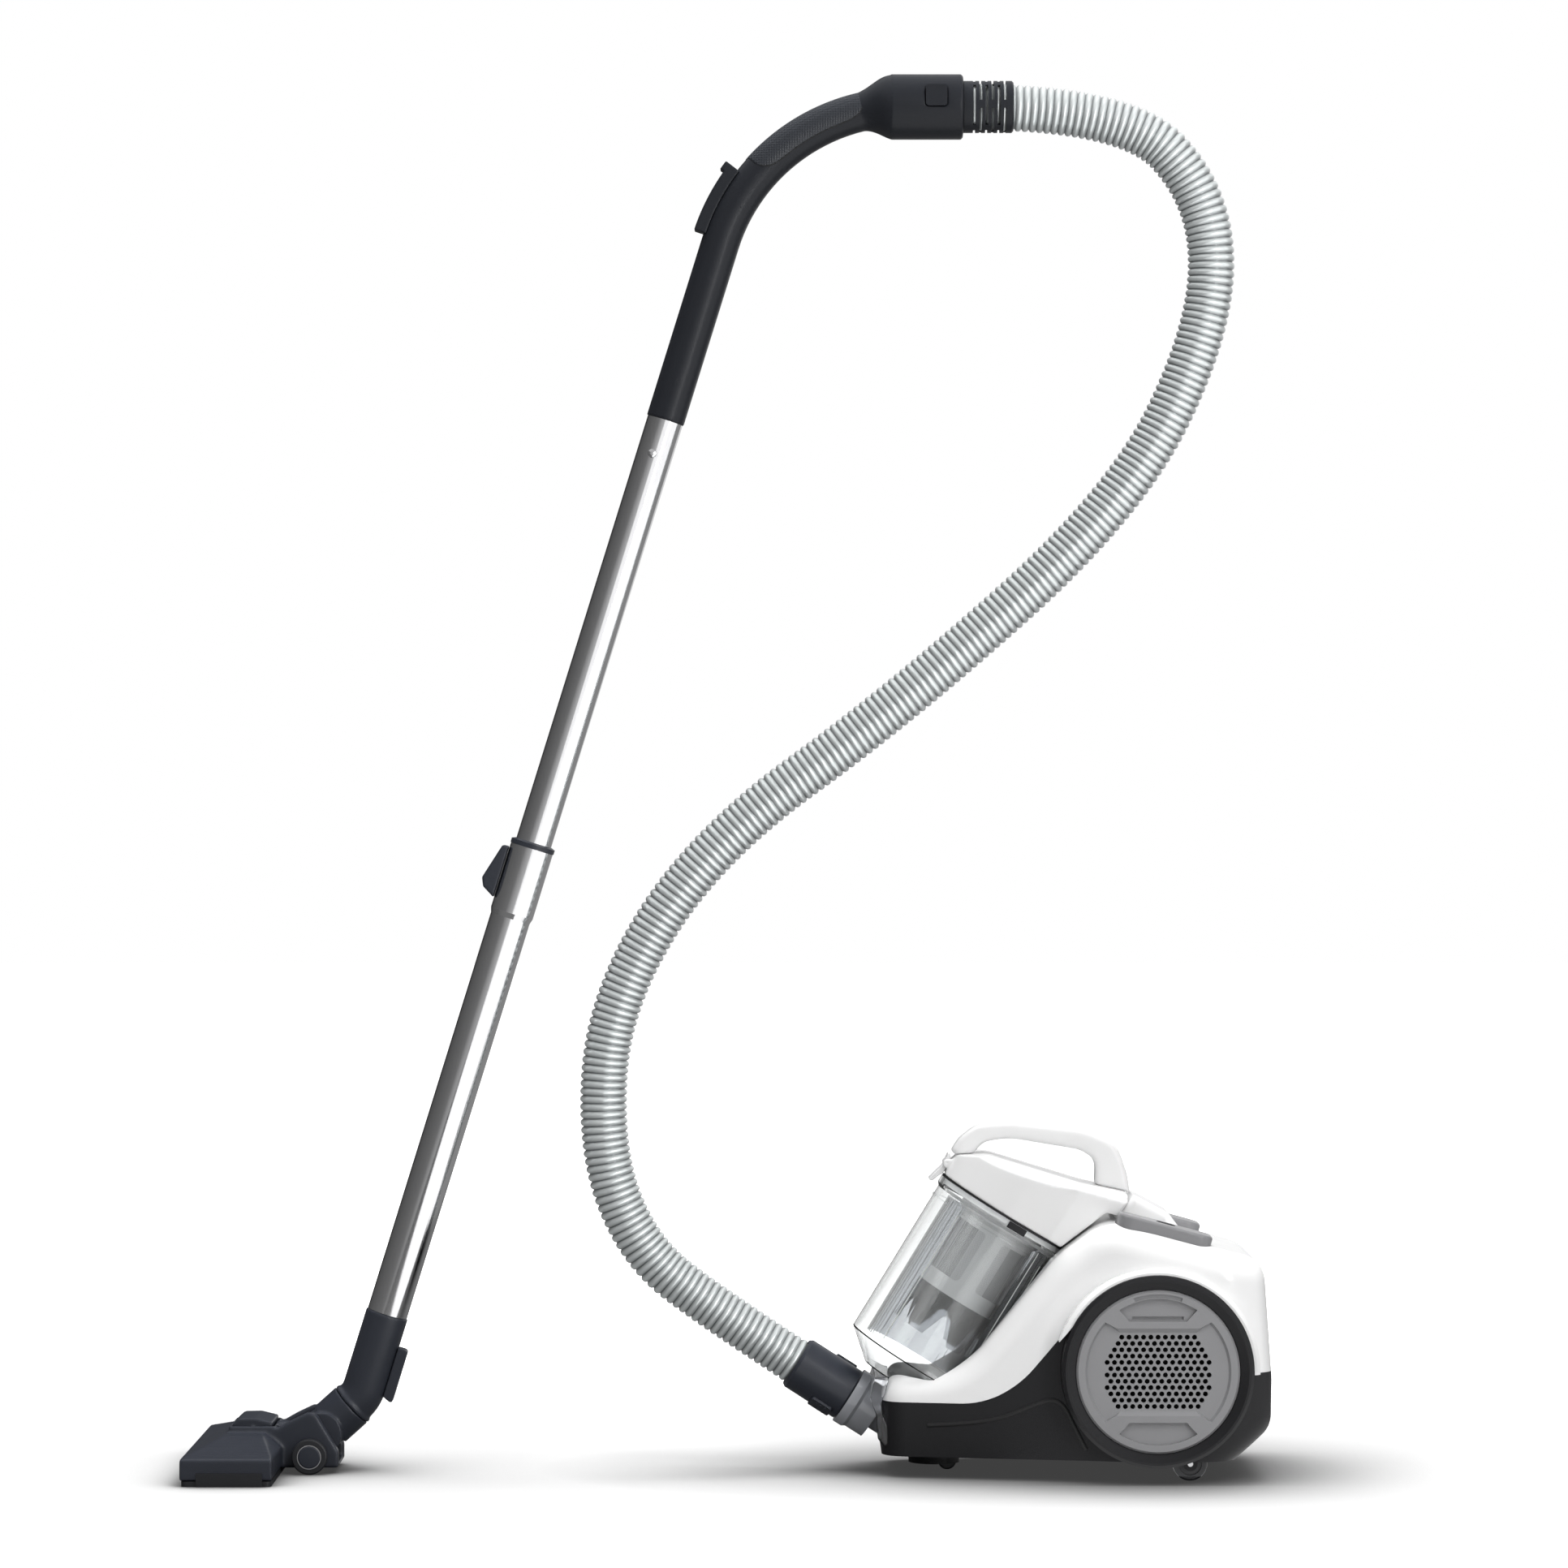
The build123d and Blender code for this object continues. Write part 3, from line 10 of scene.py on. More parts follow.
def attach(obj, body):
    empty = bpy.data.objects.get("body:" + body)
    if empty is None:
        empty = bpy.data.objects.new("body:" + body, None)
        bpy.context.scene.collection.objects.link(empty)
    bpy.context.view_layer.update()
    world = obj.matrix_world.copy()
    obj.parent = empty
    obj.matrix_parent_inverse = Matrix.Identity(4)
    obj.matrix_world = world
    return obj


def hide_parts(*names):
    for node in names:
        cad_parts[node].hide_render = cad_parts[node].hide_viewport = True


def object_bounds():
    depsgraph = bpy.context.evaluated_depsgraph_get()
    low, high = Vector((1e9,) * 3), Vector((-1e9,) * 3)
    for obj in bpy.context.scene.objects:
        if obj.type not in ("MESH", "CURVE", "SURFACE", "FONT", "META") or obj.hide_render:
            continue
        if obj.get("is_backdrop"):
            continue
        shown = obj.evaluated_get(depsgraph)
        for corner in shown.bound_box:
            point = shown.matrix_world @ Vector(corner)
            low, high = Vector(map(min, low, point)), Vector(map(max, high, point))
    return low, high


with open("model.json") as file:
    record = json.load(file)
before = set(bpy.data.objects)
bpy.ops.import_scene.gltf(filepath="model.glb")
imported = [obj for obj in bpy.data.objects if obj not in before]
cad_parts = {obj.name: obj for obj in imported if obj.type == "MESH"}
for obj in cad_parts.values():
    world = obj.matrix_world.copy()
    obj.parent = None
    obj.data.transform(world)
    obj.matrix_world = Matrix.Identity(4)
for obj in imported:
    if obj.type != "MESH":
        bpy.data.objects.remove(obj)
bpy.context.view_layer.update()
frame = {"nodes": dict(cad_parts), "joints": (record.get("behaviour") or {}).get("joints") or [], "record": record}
nodes = frame["nodes"]
body_of_node = {}
for body_name, members in frame["record"]["behaviour"]["bodies"].items():
    for member in members:
        body_of_node[member] = body_name
joints = {joint["name"]: joint for joint in frame["joints"]}

# Sizes in metres, angles in degrees
bin_axis = Vector(joints["bin_lift"]["axis"])
bin_foot = Vector((0.175, 0, 0.099))
bin_lean = 31.5
wand_lean = 17.29
inlet_axis = Vector(joints["hose_swivel"]["axis"])
inlet_start = Vector(joints["hose_swivel"]["pos_m"])
bend_centre = Vector(joints["regulator_slide"]["pos_m"])
bend_radius = 0.182
socket_z = joints["handle_swivel"]["pos_m"][2]
hose_outer = 0.022
hose_valley = 0.0193
hose_ribs = 238
hose_rib_steps = 6
hose_sides = 28
hose_start_x = 0.226
rib_fullness = 0.7
cuff_length = 0.058
cuff_mouth = inlet_start - inlet_axis * cuff_length
weld_distance = 1e-6


# Colour, and small helpers for node trees


def linear(red, green, blue):
    """Linear colour from the eight-bit values that a screen shows"""
    values = []
    for level in (red, green, blue):
        share = level / 255
        values.append(share / 12.92 if share <= 0.04045 else ((share + 0.055) / 1.055) ** 2.4)
    return (*values, 1.0)


def add_node(tree, kind, **settings):
    """New node with its properties set"""
    node = tree.nodes.new(kind)
    for name, value in settings.items():
        setattr(node, name, value)
    return node


def join(tree, source, target):
    """Wire from one socket to another"""
    tree.links.new(source, target)


def math_node(tree, operation, first, second=None):
    """Math node whose inputs are sockets or numbers; gives its output"""
    node = add_node(tree, "ShaderNodeMath", operation=operation)
    for slot_number, value in enumerate((first, second)):
        if value is None:
            continue
        if isinstance(value, (int, float)):
            node.inputs[slot_number].default_value = value
        else:
            join(tree, value, node.inputs[slot_number])
    return node.outputs[0]


def new_group(name, inputs, outputs):
    """Empty shader group with named sockets; inputs are name to default, outputs name to kind"""
    group = bpy.data.node_groups.new(name, "ShaderNodeTree")
    for label, default in inputs.items():
        kind = "NodeSocketColor" if isinstance(default, tuple) else "NodeSocketFloat"
        socket = group.interface.new_socket(label, in_out="INPUT", socket_type=kind)
        socket.default_value = default
    for label, kind in outputs.items():
        group.interface.new_socket(label, in_out="OUTPUT", socket_type=kind)
    return group, add_node(group, "NodeGroupInput"), add_node(group, "NodeGroupOutput")


def moulded_group():
    """Moulded plastic: fine grain, slow change of shade and of gloss"""
    group, given, result = new_group(
        "moulded surface",
        {
            "Colour": (0.5, 0.5, 0.5, 1.0),
            "Shade change": 0.05,
            "Grain": 900.0,
            "Roughness": 0.4,
            "Gloss change": 0.08,
        },
        {"Colour": "NodeSocketColor", "Roughness": "NodeSocketFloat", "Height": "NodeSocketFloat"},
    )
    place = add_node(group, "ShaderNodeTexCoord")
    grain = add_node(group, "ShaderNodeTexNoise")
    grain.inputs["Detail"].default_value = 3
    join(group, place.outputs["Object"], grain.inputs["Vector"])
    join(group, given.outputs["Grain"], grain.inputs["Scale"])
    cloud = add_node(group, "ShaderNodeTexNoise")
    cloud.inputs["Scale"].default_value = 26
    cloud.inputs["Detail"].default_value = 4
    join(group, place.outputs["Object"], cloud.inputs["Vector"])
    noise_middle = 0.5
    fine_share = 0.5
    swing = math_node(group, "SUBTRACT", cloud.outputs["Fac"], noise_middle)
    fine = math_node(group, "SUBTRACT", grain.outputs["Fac"], noise_middle)
    both = math_node(group, "ADD", swing, math_node(group, "MULTIPLY", fine, fine_share))
    shade = math_node(group, "ADD", 1.0, math_node(group, "MULTIPLY", both, given.outputs["Shade change"]))
    tint = add_node(group, "ShaderNodeVectorMath", operation="SCALE")
    join(group, given.outputs["Colour"], tint.inputs[0])
    join(group, shade, tint.inputs["Scale"])
    join(group, tint.outputs[0], result.inputs["Colour"])
    gloss = math_node(group, "MULTIPLY", swing, given.outputs["Gloss change"])
    join(group, math_node(group, "ADD", given.outputs["Roughness"], gloss), result.inputs["Roughness"])
    join(group, grain.outputs["Fac"], result.inputs["Height"])
    return group


MOULDED = moulded_group()


def new_material(name):
    """Material with its tree and its main shader"""
    material = bpy.data.materials.new(name)
    material.use_nodes = True
    return material, material.node_tree, material.node_tree.nodes["Principled BSDF"]


def set_values(node, **values):
    """Constants on a node's own sockets; an underscore stands for a space"""
    for name, value in values.items():
        node.inputs[name.replace("_", " ")].default_value = value


def moulded_surface(tree, shader, **values):
    """Moulded colour and gloss, wired to a shader"""
    surface = add_node(tree, "ShaderNodeGroup", node_tree=MOULDED)
    set_values(surface, **values)
    join(tree, surface.outputs["Colour"], shader.inputs["Base Color"])
    join(tree, surface.outputs["Roughness"], shader.inputs["Roughness"])
    return surface


def add_relief(tree, shader, height, strength, distance, invert=False):
    """Fine relief from a height"""
    relief = add_node(tree, "ShaderNodeBump", invert=invert)
    set_values(relief, Strength=strength, Distance=distance)
    join(tree, height, relief.inputs["Height"])
    join(tree, relief.outputs["Normal"], shader.inputs["Normal"])


def colour_mix(tree, first, second, share):
    """Mix of two colours by a socket; gives its output"""
    tone = add_node(tree, "ShaderNodeMix", data_type="RGBA")
    set_values(tone, A=first, B=second)
    join(tree, share, tone.inputs["Factor"])
    return tone.outputs["Result"]


def plastic(
    name,
    colour,
    roughness,
    grain=900.0,
    bump=0.05,
    shade_change=0.08,
    gloss_change=0.1,
    coat=0.0,
    shine=0.5,
):
    """Moulded plastic of one colour"""
    material, tree, shader = new_material(name)
    surface = moulded_surface(
        tree,
        shader,
        Colour=colour,
        Shade_change=shade_change,
        Grain=grain,
        Roughness=roughness,
        Gloss_change=gloss_change,
    )
    add_relief(tree, shader, surface.outputs["Height"], bump, 0.001)
    set_values(shader, Specular_IOR_Level=shine)
    if coat:
        set_values(shader, Coat_Weight=coat, Coat_Roughness=0.08)
    return material


def chrome_material():
    """Polished tube with faint drawing lines along the wand"""
    material, tree, shader = new_material("polished tube")
    place = add_node(tree, "ShaderNodeTexCoord")
    turn = add_node(tree, "ShaderNodeMapping")
    set_values(turn, Rotation=(0, -radians(wand_lean), 0), Scale=(700, 700, 6))
    join(tree, place.outputs["Object"], turn.inputs["Vector"])
    lines = add_node(tree, "ShaderNodeTexNoise")
    set_values(lines, Scale=1, Detail=4)
    join(tree, turn.outputs["Vector"], lines.inputs["Vector"])
    spread = add_node(tree, "ShaderNodeMapRange")
    set_values(spread, To_Min=0.07, To_Max=0.16)
    join(tree, lines.outputs["Fac"], spread.inputs["Value"])
    join(tree, spread.outputs["Result"], shader.inputs["Roughness"])
    tone = colour_mix(tree, linear(224, 224, 226), linear(238, 238, 239), lines.outputs["Fac"])
    join(tree, tone, shader.inputs["Base Color"])
    set_values(shader, Metallic=1.0)
    return material


def clear_material(name, colour, roughness, ior=1.45):
    """Clear moulded plastic with faint flow marks"""
    material, tree, shader = new_material(name)
    place = add_node(tree, "ShaderNodeTexCoord")
    flow = add_node(tree, "ShaderNodeTexNoise")
    flow.inputs["Scale"].default_value = 18
    join(tree, place.outputs["Object"], flow.inputs["Vector"])
    add_relief(tree, shader, flow.outputs["Fac"], 0.04, 0.002)
    set_values(shader, Base_Color=colour, Roughness=roughness, IOR=ior, Transmission_Weight=1.0)
    return material


def hose_material():
    """Silver grey ribbed plastic, with painted shade that darkens the valleys"""
    material, tree, shader = new_material("ribbed hose")
    ridge = add_node(tree, "ShaderNodeAttribute", attribute_name="ridge")
    # painted shade: the valleys get a darker colour than the crests, standing in for the shade that falls between
    # the ribs
    tone = colour_mix(tree, linear(112, 116, 118), linear(232, 237, 237), ridge.outputs["Fac"])
    surface = moulded_surface(tree, shader, Roughness=0.3)
    join(tree, tone, surface.inputs["Colour"])
    set_values(shader, Metallic=0.55)
    return material


def grip_material():
    """Dark plastic with a close pattern of raised diamonds"""
    material = plastic("textured grip", linear(38, 41, 47), 0.42, 1200, 0.1)
    tree = material.node_tree
    shader = tree.nodes["Principled BSDF"]
    place = add_node(tree, "ShaderNodeTexCoord")
    cells = add_node(tree, "ShaderNodeTexVoronoi", feature="F1")
    set_values(cells, Scale=420, Randomness=0.1)
    join(tree, place.outputs["Object"], cells.inputs["Vector"])
    add_relief(tree, shader, cells.outputs["Distance"], 0.9, 0.0008, True)
    return material


screen_bars = 4.0
dots_round = 96.0
dots_up = 2700.0
dot_edge = 0.25
dot_share = 0.45
bar_edge = -0.45


def screen_material():
    """Fine metal screen: dotted beside the bars of the cyclone, darker between them"""
    material, tree, shader = new_material("cyclone screen")
    place = add_node(tree, "ShaderNodeTexCoord")
    local = add_node(tree, "ShaderNodeMapping", vector_type="TEXTURE")
    set_values(local, Location=bin_foot, Rotation=(0, radians(bin_lean), 0))
    join(tree, place.outputs["Object"], local.inputs["Vector"])
    parts = add_node(tree, "ShaderNodeSeparateXYZ")
    join(tree, local.outputs["Vector"], parts.inputs["Vector"])
    angle = math_node(tree, "ARCTAN2", parts.outputs["X"], parts.outputs["Y"])
    bars = math_node(tree, "COSINE", math_node(tree, "MULTIPLY", angle, screen_bars))
    across = math_node(tree, "SINE", math_node(tree, "MULTIPLY", angle, dots_round))
    along = math_node(tree, "SINE", math_node(tree, "MULTIPLY", parts.outputs["Z"], dots_up))
    dots = math_node(tree, "GREATER_THAN", math_node(tree, "MULTIPLY", across, along), dot_edge)
    near_bar = math_node(tree, "GREATER_THAN", bars, bar_edge)
    ground = 1 - dot_share
    level = math_node(tree, "ADD", ground, math_node(tree, "MULTIPLY", dots, dot_share))
    lit = math_node(tree, "MULTIPLY", near_bar, level)
    tone = colour_mix(tree, linear(160, 161, 163), linear(232, 233, 235), lit)
    join(tree, tone, shader.inputs["Base Color"])
    set_values(shader, Roughness=0.4)
    return material


def metal_material(name, colour, roughness):
    """Plain turned or pressed metal"""
    material, tree, shader = new_material(name)
    moulded_surface(tree, shader, Colour=colour, Roughness=roughness, Gloss_change=0.15)
    set_values(shader, Metallic=1.0)
    return material


white = linear(244, 244, 244)
# painted shade: the lid is the same white plastic as the shell, set darker so that it reads as shaded beside the
# shell
lid_white_painted_shade = linear(229, 229, 229)
finishes = {
    "white_shell": plastic("white gloss shell", white, 0.18, 260, 0.02, 0.02, 0.05, coat=0.3),
    "charcoal": plastic("charcoal grained shell", linear(27, 27, 29), 0.5, 1500, 0.16, shine=0.25),
    "dark_fitting": plastic("dark satin fitting", linear(44, 47, 55), 0.34, 1200, 0.1, shine=0.4),
    "light_grey": plastic("light grey moulding", linear(228, 228, 228), 0.3, 700, 0.04, 0.03),
    "pedal_grey": plastic("pedal grey", linear(128, 128, 130), 0.3, 900, 0.05, 0.03),
    "chrome_tube": chrome_material(),
    "steel": metal_material("steel", linear(190, 190, 192), 0.3),
    "soft_rubber": plastic("black rubber", linear(26, 26, 27), 0.7, 1400, 0.15),
    "grille_grey": plastic("grey grille", linear(138, 138, 140), 0.36, 1300, 0.08),
    "filter_fleece": plastic("filter fleece", linear(60, 60, 60), 0.9, 1800, 0.5),
    "motor_metal": metal_material("motor can", linear(180, 180, 184), 0.35),
    "wheel_plastic": plastic("wheel plastic", linear(34, 35, 38), 0.42, 1200, 0.1),
    "smoke_clear": clear_material("smoke clear", linear(200, 202, 206), 0.12),
    "clear_cup": clear_material("clear cup", linear(243, 244, 244), 0.02),
    "cyclone_grey": plastic("cyclone grey", linear(236, 237, 238), 0.3, 900, 0.05),
    "foam": plastic("foam", linear(60, 60, 63), 0.95, 900, 0.6),
    "grip_texture": grip_material(),
    "hose_grey": hose_material(),
    "sole_dark": plastic("sole plate", linear(30, 31, 34), 0.5, 1200, 0.12),
    "bristle": plastic("bristle", linear(28, 28, 30), 0.8, 3000, 0.4),
}

slot_of_node = {}
for subpart in frame["record"]["subparts"]:
    slot_of_node[subpart["node"]] = subpart["material_slot"]
for name, thing in nodes.items():
    thing.data.materials.clear()
    thing.data.materials.append(finishes[slot_of_node[name]])
nodes["cyclone_screen"].data.materials[0] = screen_material()
tones = {
    "dark_handle": plastic("dark satin handle", linear(34, 36, 41), 0.32, 1200, 0.1, shine=0.22),
    "spout_grey": plastic("smoke grey spout", linear(150, 152, 157), 0.2, 700, 0.03, 0.03, coat=0.3),
    "lid_white_painted_shade": plastic("white gloss lid with painted shade", lid_white_painted_shade, 0.2, 260, 0.02, 0.02, 0.05, coat=0.3),
}
tone_of_node = {"bin_lid": "lid_white_painted_shade", "inlet_spout": "spout_grey"}
for name in ("handle_tube", "release_button_left", "release_button_right", "hose_sleeve", "air_regulator"):
    tone_of_node[name] = "dark_handle"
for name, tone in tone_of_node.items():
    nodes[name].data.materials[0] = tones[tone]


def new_object(name, mesh):
    """Object at the origin for a mesh in the shared frame"""
    thing = bpy.data.objects.new(name, mesh)
    bpy.context.scene.collection.objects.link(thing)
    return thing


def plain_mesh(thing):
    """Plain mesh of what an object's modifiers or curve settings make"""
    bpy.context.view_layer.update()
    graph = bpy.context.evaluated_depsgraph_get()
    return bpy.data.meshes.new_from_object(thing.evaluated_get(graph))


# Hose, on the same route as its solid

hose_route = [
    Vector((hose_start_x, 0, socket_z)),
    Vector((0.372, 0, socket_z)),
    Vector((0.451, 0, 1.190)),
    Vector((0.452, 0, 1.070)),
    Vector((0.372, 0, 0.905)),
    Vector((0.160, 0, 0.715)),
    Vector((-0.020, 0, 0.585)),
    Vector((-0.112, 0, 0.440)),
    Vector((-0.121, 0, 0.300)),
    Vector((-0.085, 0, 0.205)),
    cuff_mouth - inlet_axis * 0.091,
    cuff_mouth + inlet_axis * 0.028,
]


def smooth_line(route):
    """Closely spaced points on the smooth curve of a route"""
    curve = bpy.data.curves.new("hose line", "CURVE")
    curve.dimensions = "3D"
    curve.resolution_u = 40
    spline = curve.splines.new("NURBS")
    spline.points.add(len(route) - 1)
    for point, spot in zip(spline.points, route):
        point.co = (*spot, 1)
    spline.order_u = 3
    spline.use_endpoint_u = True
    holder = new_object("hose line", curve)
    mesh = plain_mesh(holder)
    points = [vertex.co.copy() for vertex in mesh.vertices]
    bpy.data.objects.remove(holder)
    bpy.data.curves.remove(curve)
    bpy.data.meshes.remove(mesh)
    return points


def even_points(points, count):
    """Points at equal steps along a line, and the length of the line"""
    reach = [0.0]
    for before, after in zip(points, points[1:]):
        reach.append(reach[-1] + (after - before).length)
    spots = []
    segment = 0
    for step in range(count + 1):
        target = reach[-1] * step / count
        while segment < len(points) - 2 and reach[segment + 1] < target:
            segment += 1
        share = (target - reach[segment]) / (reach[segment + 1] - reach[segment])
        spots.append(points[segment].lerp(points[segment + 1], share))
    return spots, reach[-1]


def hose_mesh(points):
    """Ribbed tube with a rounded crest on each rib, and its length"""
    spots, length = even_points(points, hose_ribs * hose_rib_steps)
    mesh = bpy.data.meshes.new("hose")
    shape = bmesh.new()
    # the crest share, kept as "ridge", also sets the painted shade in the valleys of the hose material
    ridge = shape.verts.layers.float.new("ridge")
    rings = []
    across = Vector((0, 1, 0))
    for step, spot in enumerate(spots):
        ahead = spots[min(step + 1, len(spots) - 1)]
        behind = spots[max(step - 1, 0)]
        heading = (ahead - behind).normalized()
        lift = heading.cross(across)
        crest = abs(sin(pi * step / hose_rib_steps)) ** rib_fullness
        radius = hose_valley + (hose_outer - hose_valley) * crest
        ring = []
        for side in range(hose_sides):
            turn = 2 * pi * side / hose_sides
            vertex = shape.verts.new(spot + (across * cos(turn) + lift * sin(turn)) * radius)
            vertex[ridge] = crest
            ring.append(vertex)
        rings.append(ring)
    for ring, following in zip(rings, rings[1:]):
        for side in range(hose_sides):
            after = (side + 1) % hose_sides
            shape.faces.new((ring[side], ring[after], following[after], following[side]))
    for ring in (rings[0], rings[-1]):
        shape.faces.new(ring)
    bmesh.ops.recalc_face_normals(shape, faces=shape.faces)
    for face in shape.faces:
        face.smooth = True
    shape.to_mesh(mesh)
    shape.free()
    return mesh, length


hose_line = smooth_line(hose_route)
hose_data, hose_length = hose_mesh(hose_line)
hose = new_object("ribbed_hose", hose_data)
hose.data.materials.append(finishes["hose_grey"])
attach(hose, "hose")
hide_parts("hose")


def smooth_faces(mesh):
    """Soft shading over a whole mesh"""
    mesh.polygons.foreach_set("use_smooth", [True] * len(mesh.polygons))


def joined_copy(node_name):
    """Copy of a node's mesh with its loose triangles joined"""
    mesh = nodes[node_name].data.copy()
    shape = bmesh.new()
    shape.from_mesh(mesh)
    bmesh.ops.remove_doubles(shape, verts=shape.verts, dist=weld_distance)
    shape.to_mesh(mesh)
    shape.free()
    return mesh


def set_piece(piece, body, slot_name, stands_for=None):
    """Finish of a record slot and body of a new piece"""
    piece.data.materials.clear()
    piece.data.materials.append(finishes[slot_name])
    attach(piece, body)
    if stands_for:
        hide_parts(stands_for)


def soften(piece, grid, passes, keep=0.5):
    """Gives a piece the soft edges that a mould leaves"""
    even = piece.modifiers.new("even grid", "REMESH")
    even.mode = "VOXEL"
    even.voxel_size = grid
    soft = piece.modifiers.new("soft edges", "SMOOTH")
    soft.factor = 0.5
    soft.iterations = passes
    fewer = piece.modifiers.new("fewer faces", "DECIMATE")
    fewer.ratio = keep
    mesh = plain_mesh(piece)
    piece.modifiers.clear()
    piece.data = mesh
    smooth_faces(mesh)


def rounded(node_name, grid, passes, keep=0.5):
    """Stand-in for a moulding, with soft edges"""
    piece = new_object(node_name + "_moulding", joined_copy(node_name))
    soften(piece, grid, passes, keep)
    set_piece(piece, body_of_node[node_name], slot_of_node[node_name], node_name)
    if node_name in tone_of_node:
        piece.data.materials[0] = tones[tone_of_node[node_name]]
    return piece


def mesh_piece(name, vertices, faces, body, slot_name):
    """Piece from plain vertices and faces"""
    mesh = bpy.data.meshes.new(name)
    mesh.from_pydata(vertices, [], faces)
    shape = bmesh.new()
    shape.from_mesh(mesh)
    bmesh.ops.recalc_face_normals(shape, faces=shape.faces)
    shape.to_mesh(mesh)
    shape.free()
    piece = new_object(name, mesh)
    set_piece(piece, body, slot_name)
    return piece


def turned_piece(name, outline, place, body, slot_name, steps=72):
    """Ring whose closed outline of radius and height turns round a place's own Z"""
    vertices = []
    faces = []
    count = len(outline)
    for step in range(steps):
        turn = 2 * pi * step / steps
        for radius, height in outline:
            vertices.append(place @ Vector((radius * cos(turn), radius * sin(turn), height)))
    for step in range(steps):
        this, following = step * count, (step + 1) % steps * count
        for corner in range(count):
            after = (corner + 1) % count
            faces.append((this + corner, this + after, following + after, following + corner))
    return mesh_piece(name, vertices, faces, body, slot_name)


def ring_outline(inner, outer, low, high):
    """Closed outline of a plain ring"""
    return [(inner, low), (outer, low), (outer, high), (inner, high)]


def bead_piece(name, lines, thickness, body, slot_name, closed=False):
    """Raised bead along smooth lines"""
    curve = bpy.data.curves.new(name, "CURVE")
    curve.dimensions = "3D"
    curve.bevel_depth = thickness
    curve.bevel_resolution = 3
    curve.use_fill_caps = True
    curve.resolution_u = 10
    for line in lines:
        spline = curve.splines.new("NURBS")
        spline.points.add(len(line) - 1)
        for point, spot in zip(spline.points, line):
            point.co = (*spot, 1)
        spline.order_u = 3
        spline.use_endpoint_u = not closed
        spline.use_cyclic_u = closed
    holder = new_object(name + " line", curve)
    mesh = plain_mesh(holder)
    bpy.data.objects.remove(holder)
    bpy.data.curves.remove(curve)
    mesh.name = name
    piece = new_object(name, mesh)
    smooth_faces(mesh)
    set_piece(piece, body, slot_name)
    return piece


def axis_place(origin, axis):
    """Matrix whose own Z runs along an axis in the middle plane and whose own Y runs across"""
    up = Vector(axis).normalized()
    across = Vector((0, 1, 0))
    out = across.cross(up)
    turn = Matrix((out, across, up)).transposed().to_4x4()
    return Matrix.Translation(origin) @ turn


# Soft edges on the mouldings

clip_seat = -0.0008
rounded("bin_lid", 0.0013, 8)
rounded("carry_handle", 0.0011, 40)
rounded("nozzle_head", 0.0016, 5, 0.35)
rounded("foot_pedal", 0.001, 5)
rounded("nozzle_neck", 0.0013, 3)
rounded("nozzle_elbow", 0.0012, 3)
rounded("power_pedal", 0.0007, 8)
rounded("rewind_pedal", 0.0007, 8)
rounded("lock_button", 0.0008, 4)
clip = rounded("parking_clip", 0.0008, 2)
clip_side = Vector((cos(radians(wand_lean)), 0, -sin(radians(wand_lean))))
clip.data.transform(Matrix.Translation(clip_side * clip_seat))
rounded("air_regulator", 0.0008, 4)
rounded("lid_latch", 0.0006, 6)
rounded("handle_tube", 0.0009, 4, 0.3)

# Textured grip, set into both sides and the top of the bend

grip_span = (101.5, 138.5)
grip_wrap = 112
grip_along, grip_across = 64, 40
grip_tube = 0.018
grip_rise, grip_sink = 0.0004, 0.0008
grip_edge_rise = 0.0002
grip_edge_steps = 48
end_sharpness = 7


def bend_spot(bend, wrap, radius):
    """Point on the bent tube at an angle of the bend and an angle round the tube"""
    out = Vector((cos(radians(bend)), 0, sin(radians(bend))))
    reach = bend_radius + radius * cos(radians(wrap))
    return bend_centre + out * reach + Vector((0, radius * sin(radians(wrap)), 0))


def grip_half(share):
    """Half of the wrap at a share of the length, with rounded ends"""
    return grip_wrap * max(1 - abs(2 * share - 1) ** end_sharpness, 0.0) ** (1 / 3)


grip_points = []
for radius in (grip_tube + grip_rise, grip_tube - grip_sink):
    for step in range(grip_along + 1):
        share = step / grip_along
        bend = grip_span[0] + (grip_span[1] - grip_span[0]) * share
        for turn in range(grip_across + 1):
            wrap = grip_half(share) * (2 * turn / grip_across - 1)
            grip_points.append(bend_spot(bend, wrap, radius))
grip_faces = []
grip_row = grip_across + 1
grip_layer = grip_row * (grip_along + 1)
for step in range(grip_along):
    for turn in range(grip_across):
        first = step * grip_row + turn
        face = (first, first + 1, first + grip_row + 1, first + grip_row)
        grip_faces.append(face)
        grip_faces.append(tuple(corner + grip_layer for corner in reversed(face)))
    for edge in (step * grip_row, step * grip_row + grip_across):
        grip_faces.append((edge, edge + grip_row, edge + grip_row + grip_layer, edge + grip_layer))
grip = mesh_piece("handle_grip_panel", grip_points, grip_faces, "handle", "grip_texture")
smooth_faces(grip.data)
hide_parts("handle_grip")
grip_edge = []
for side in (-1, 1):
    for step in range(1, grip_edge_steps):
        share = step / grip_edge_steps if side < 0 else 1 - step / grip_edge_steps
        bend = grip_span[0] + (grip_span[1] - grip_span[0]) * share
        grip_edge.append(bend_spot(bend, side * grip_half(share), grip_tube + grip_edge_rise))
bead_piece("handle_grip_edge", [grip_edge], 0.0005, "handle", "soft_rubber", closed=True)
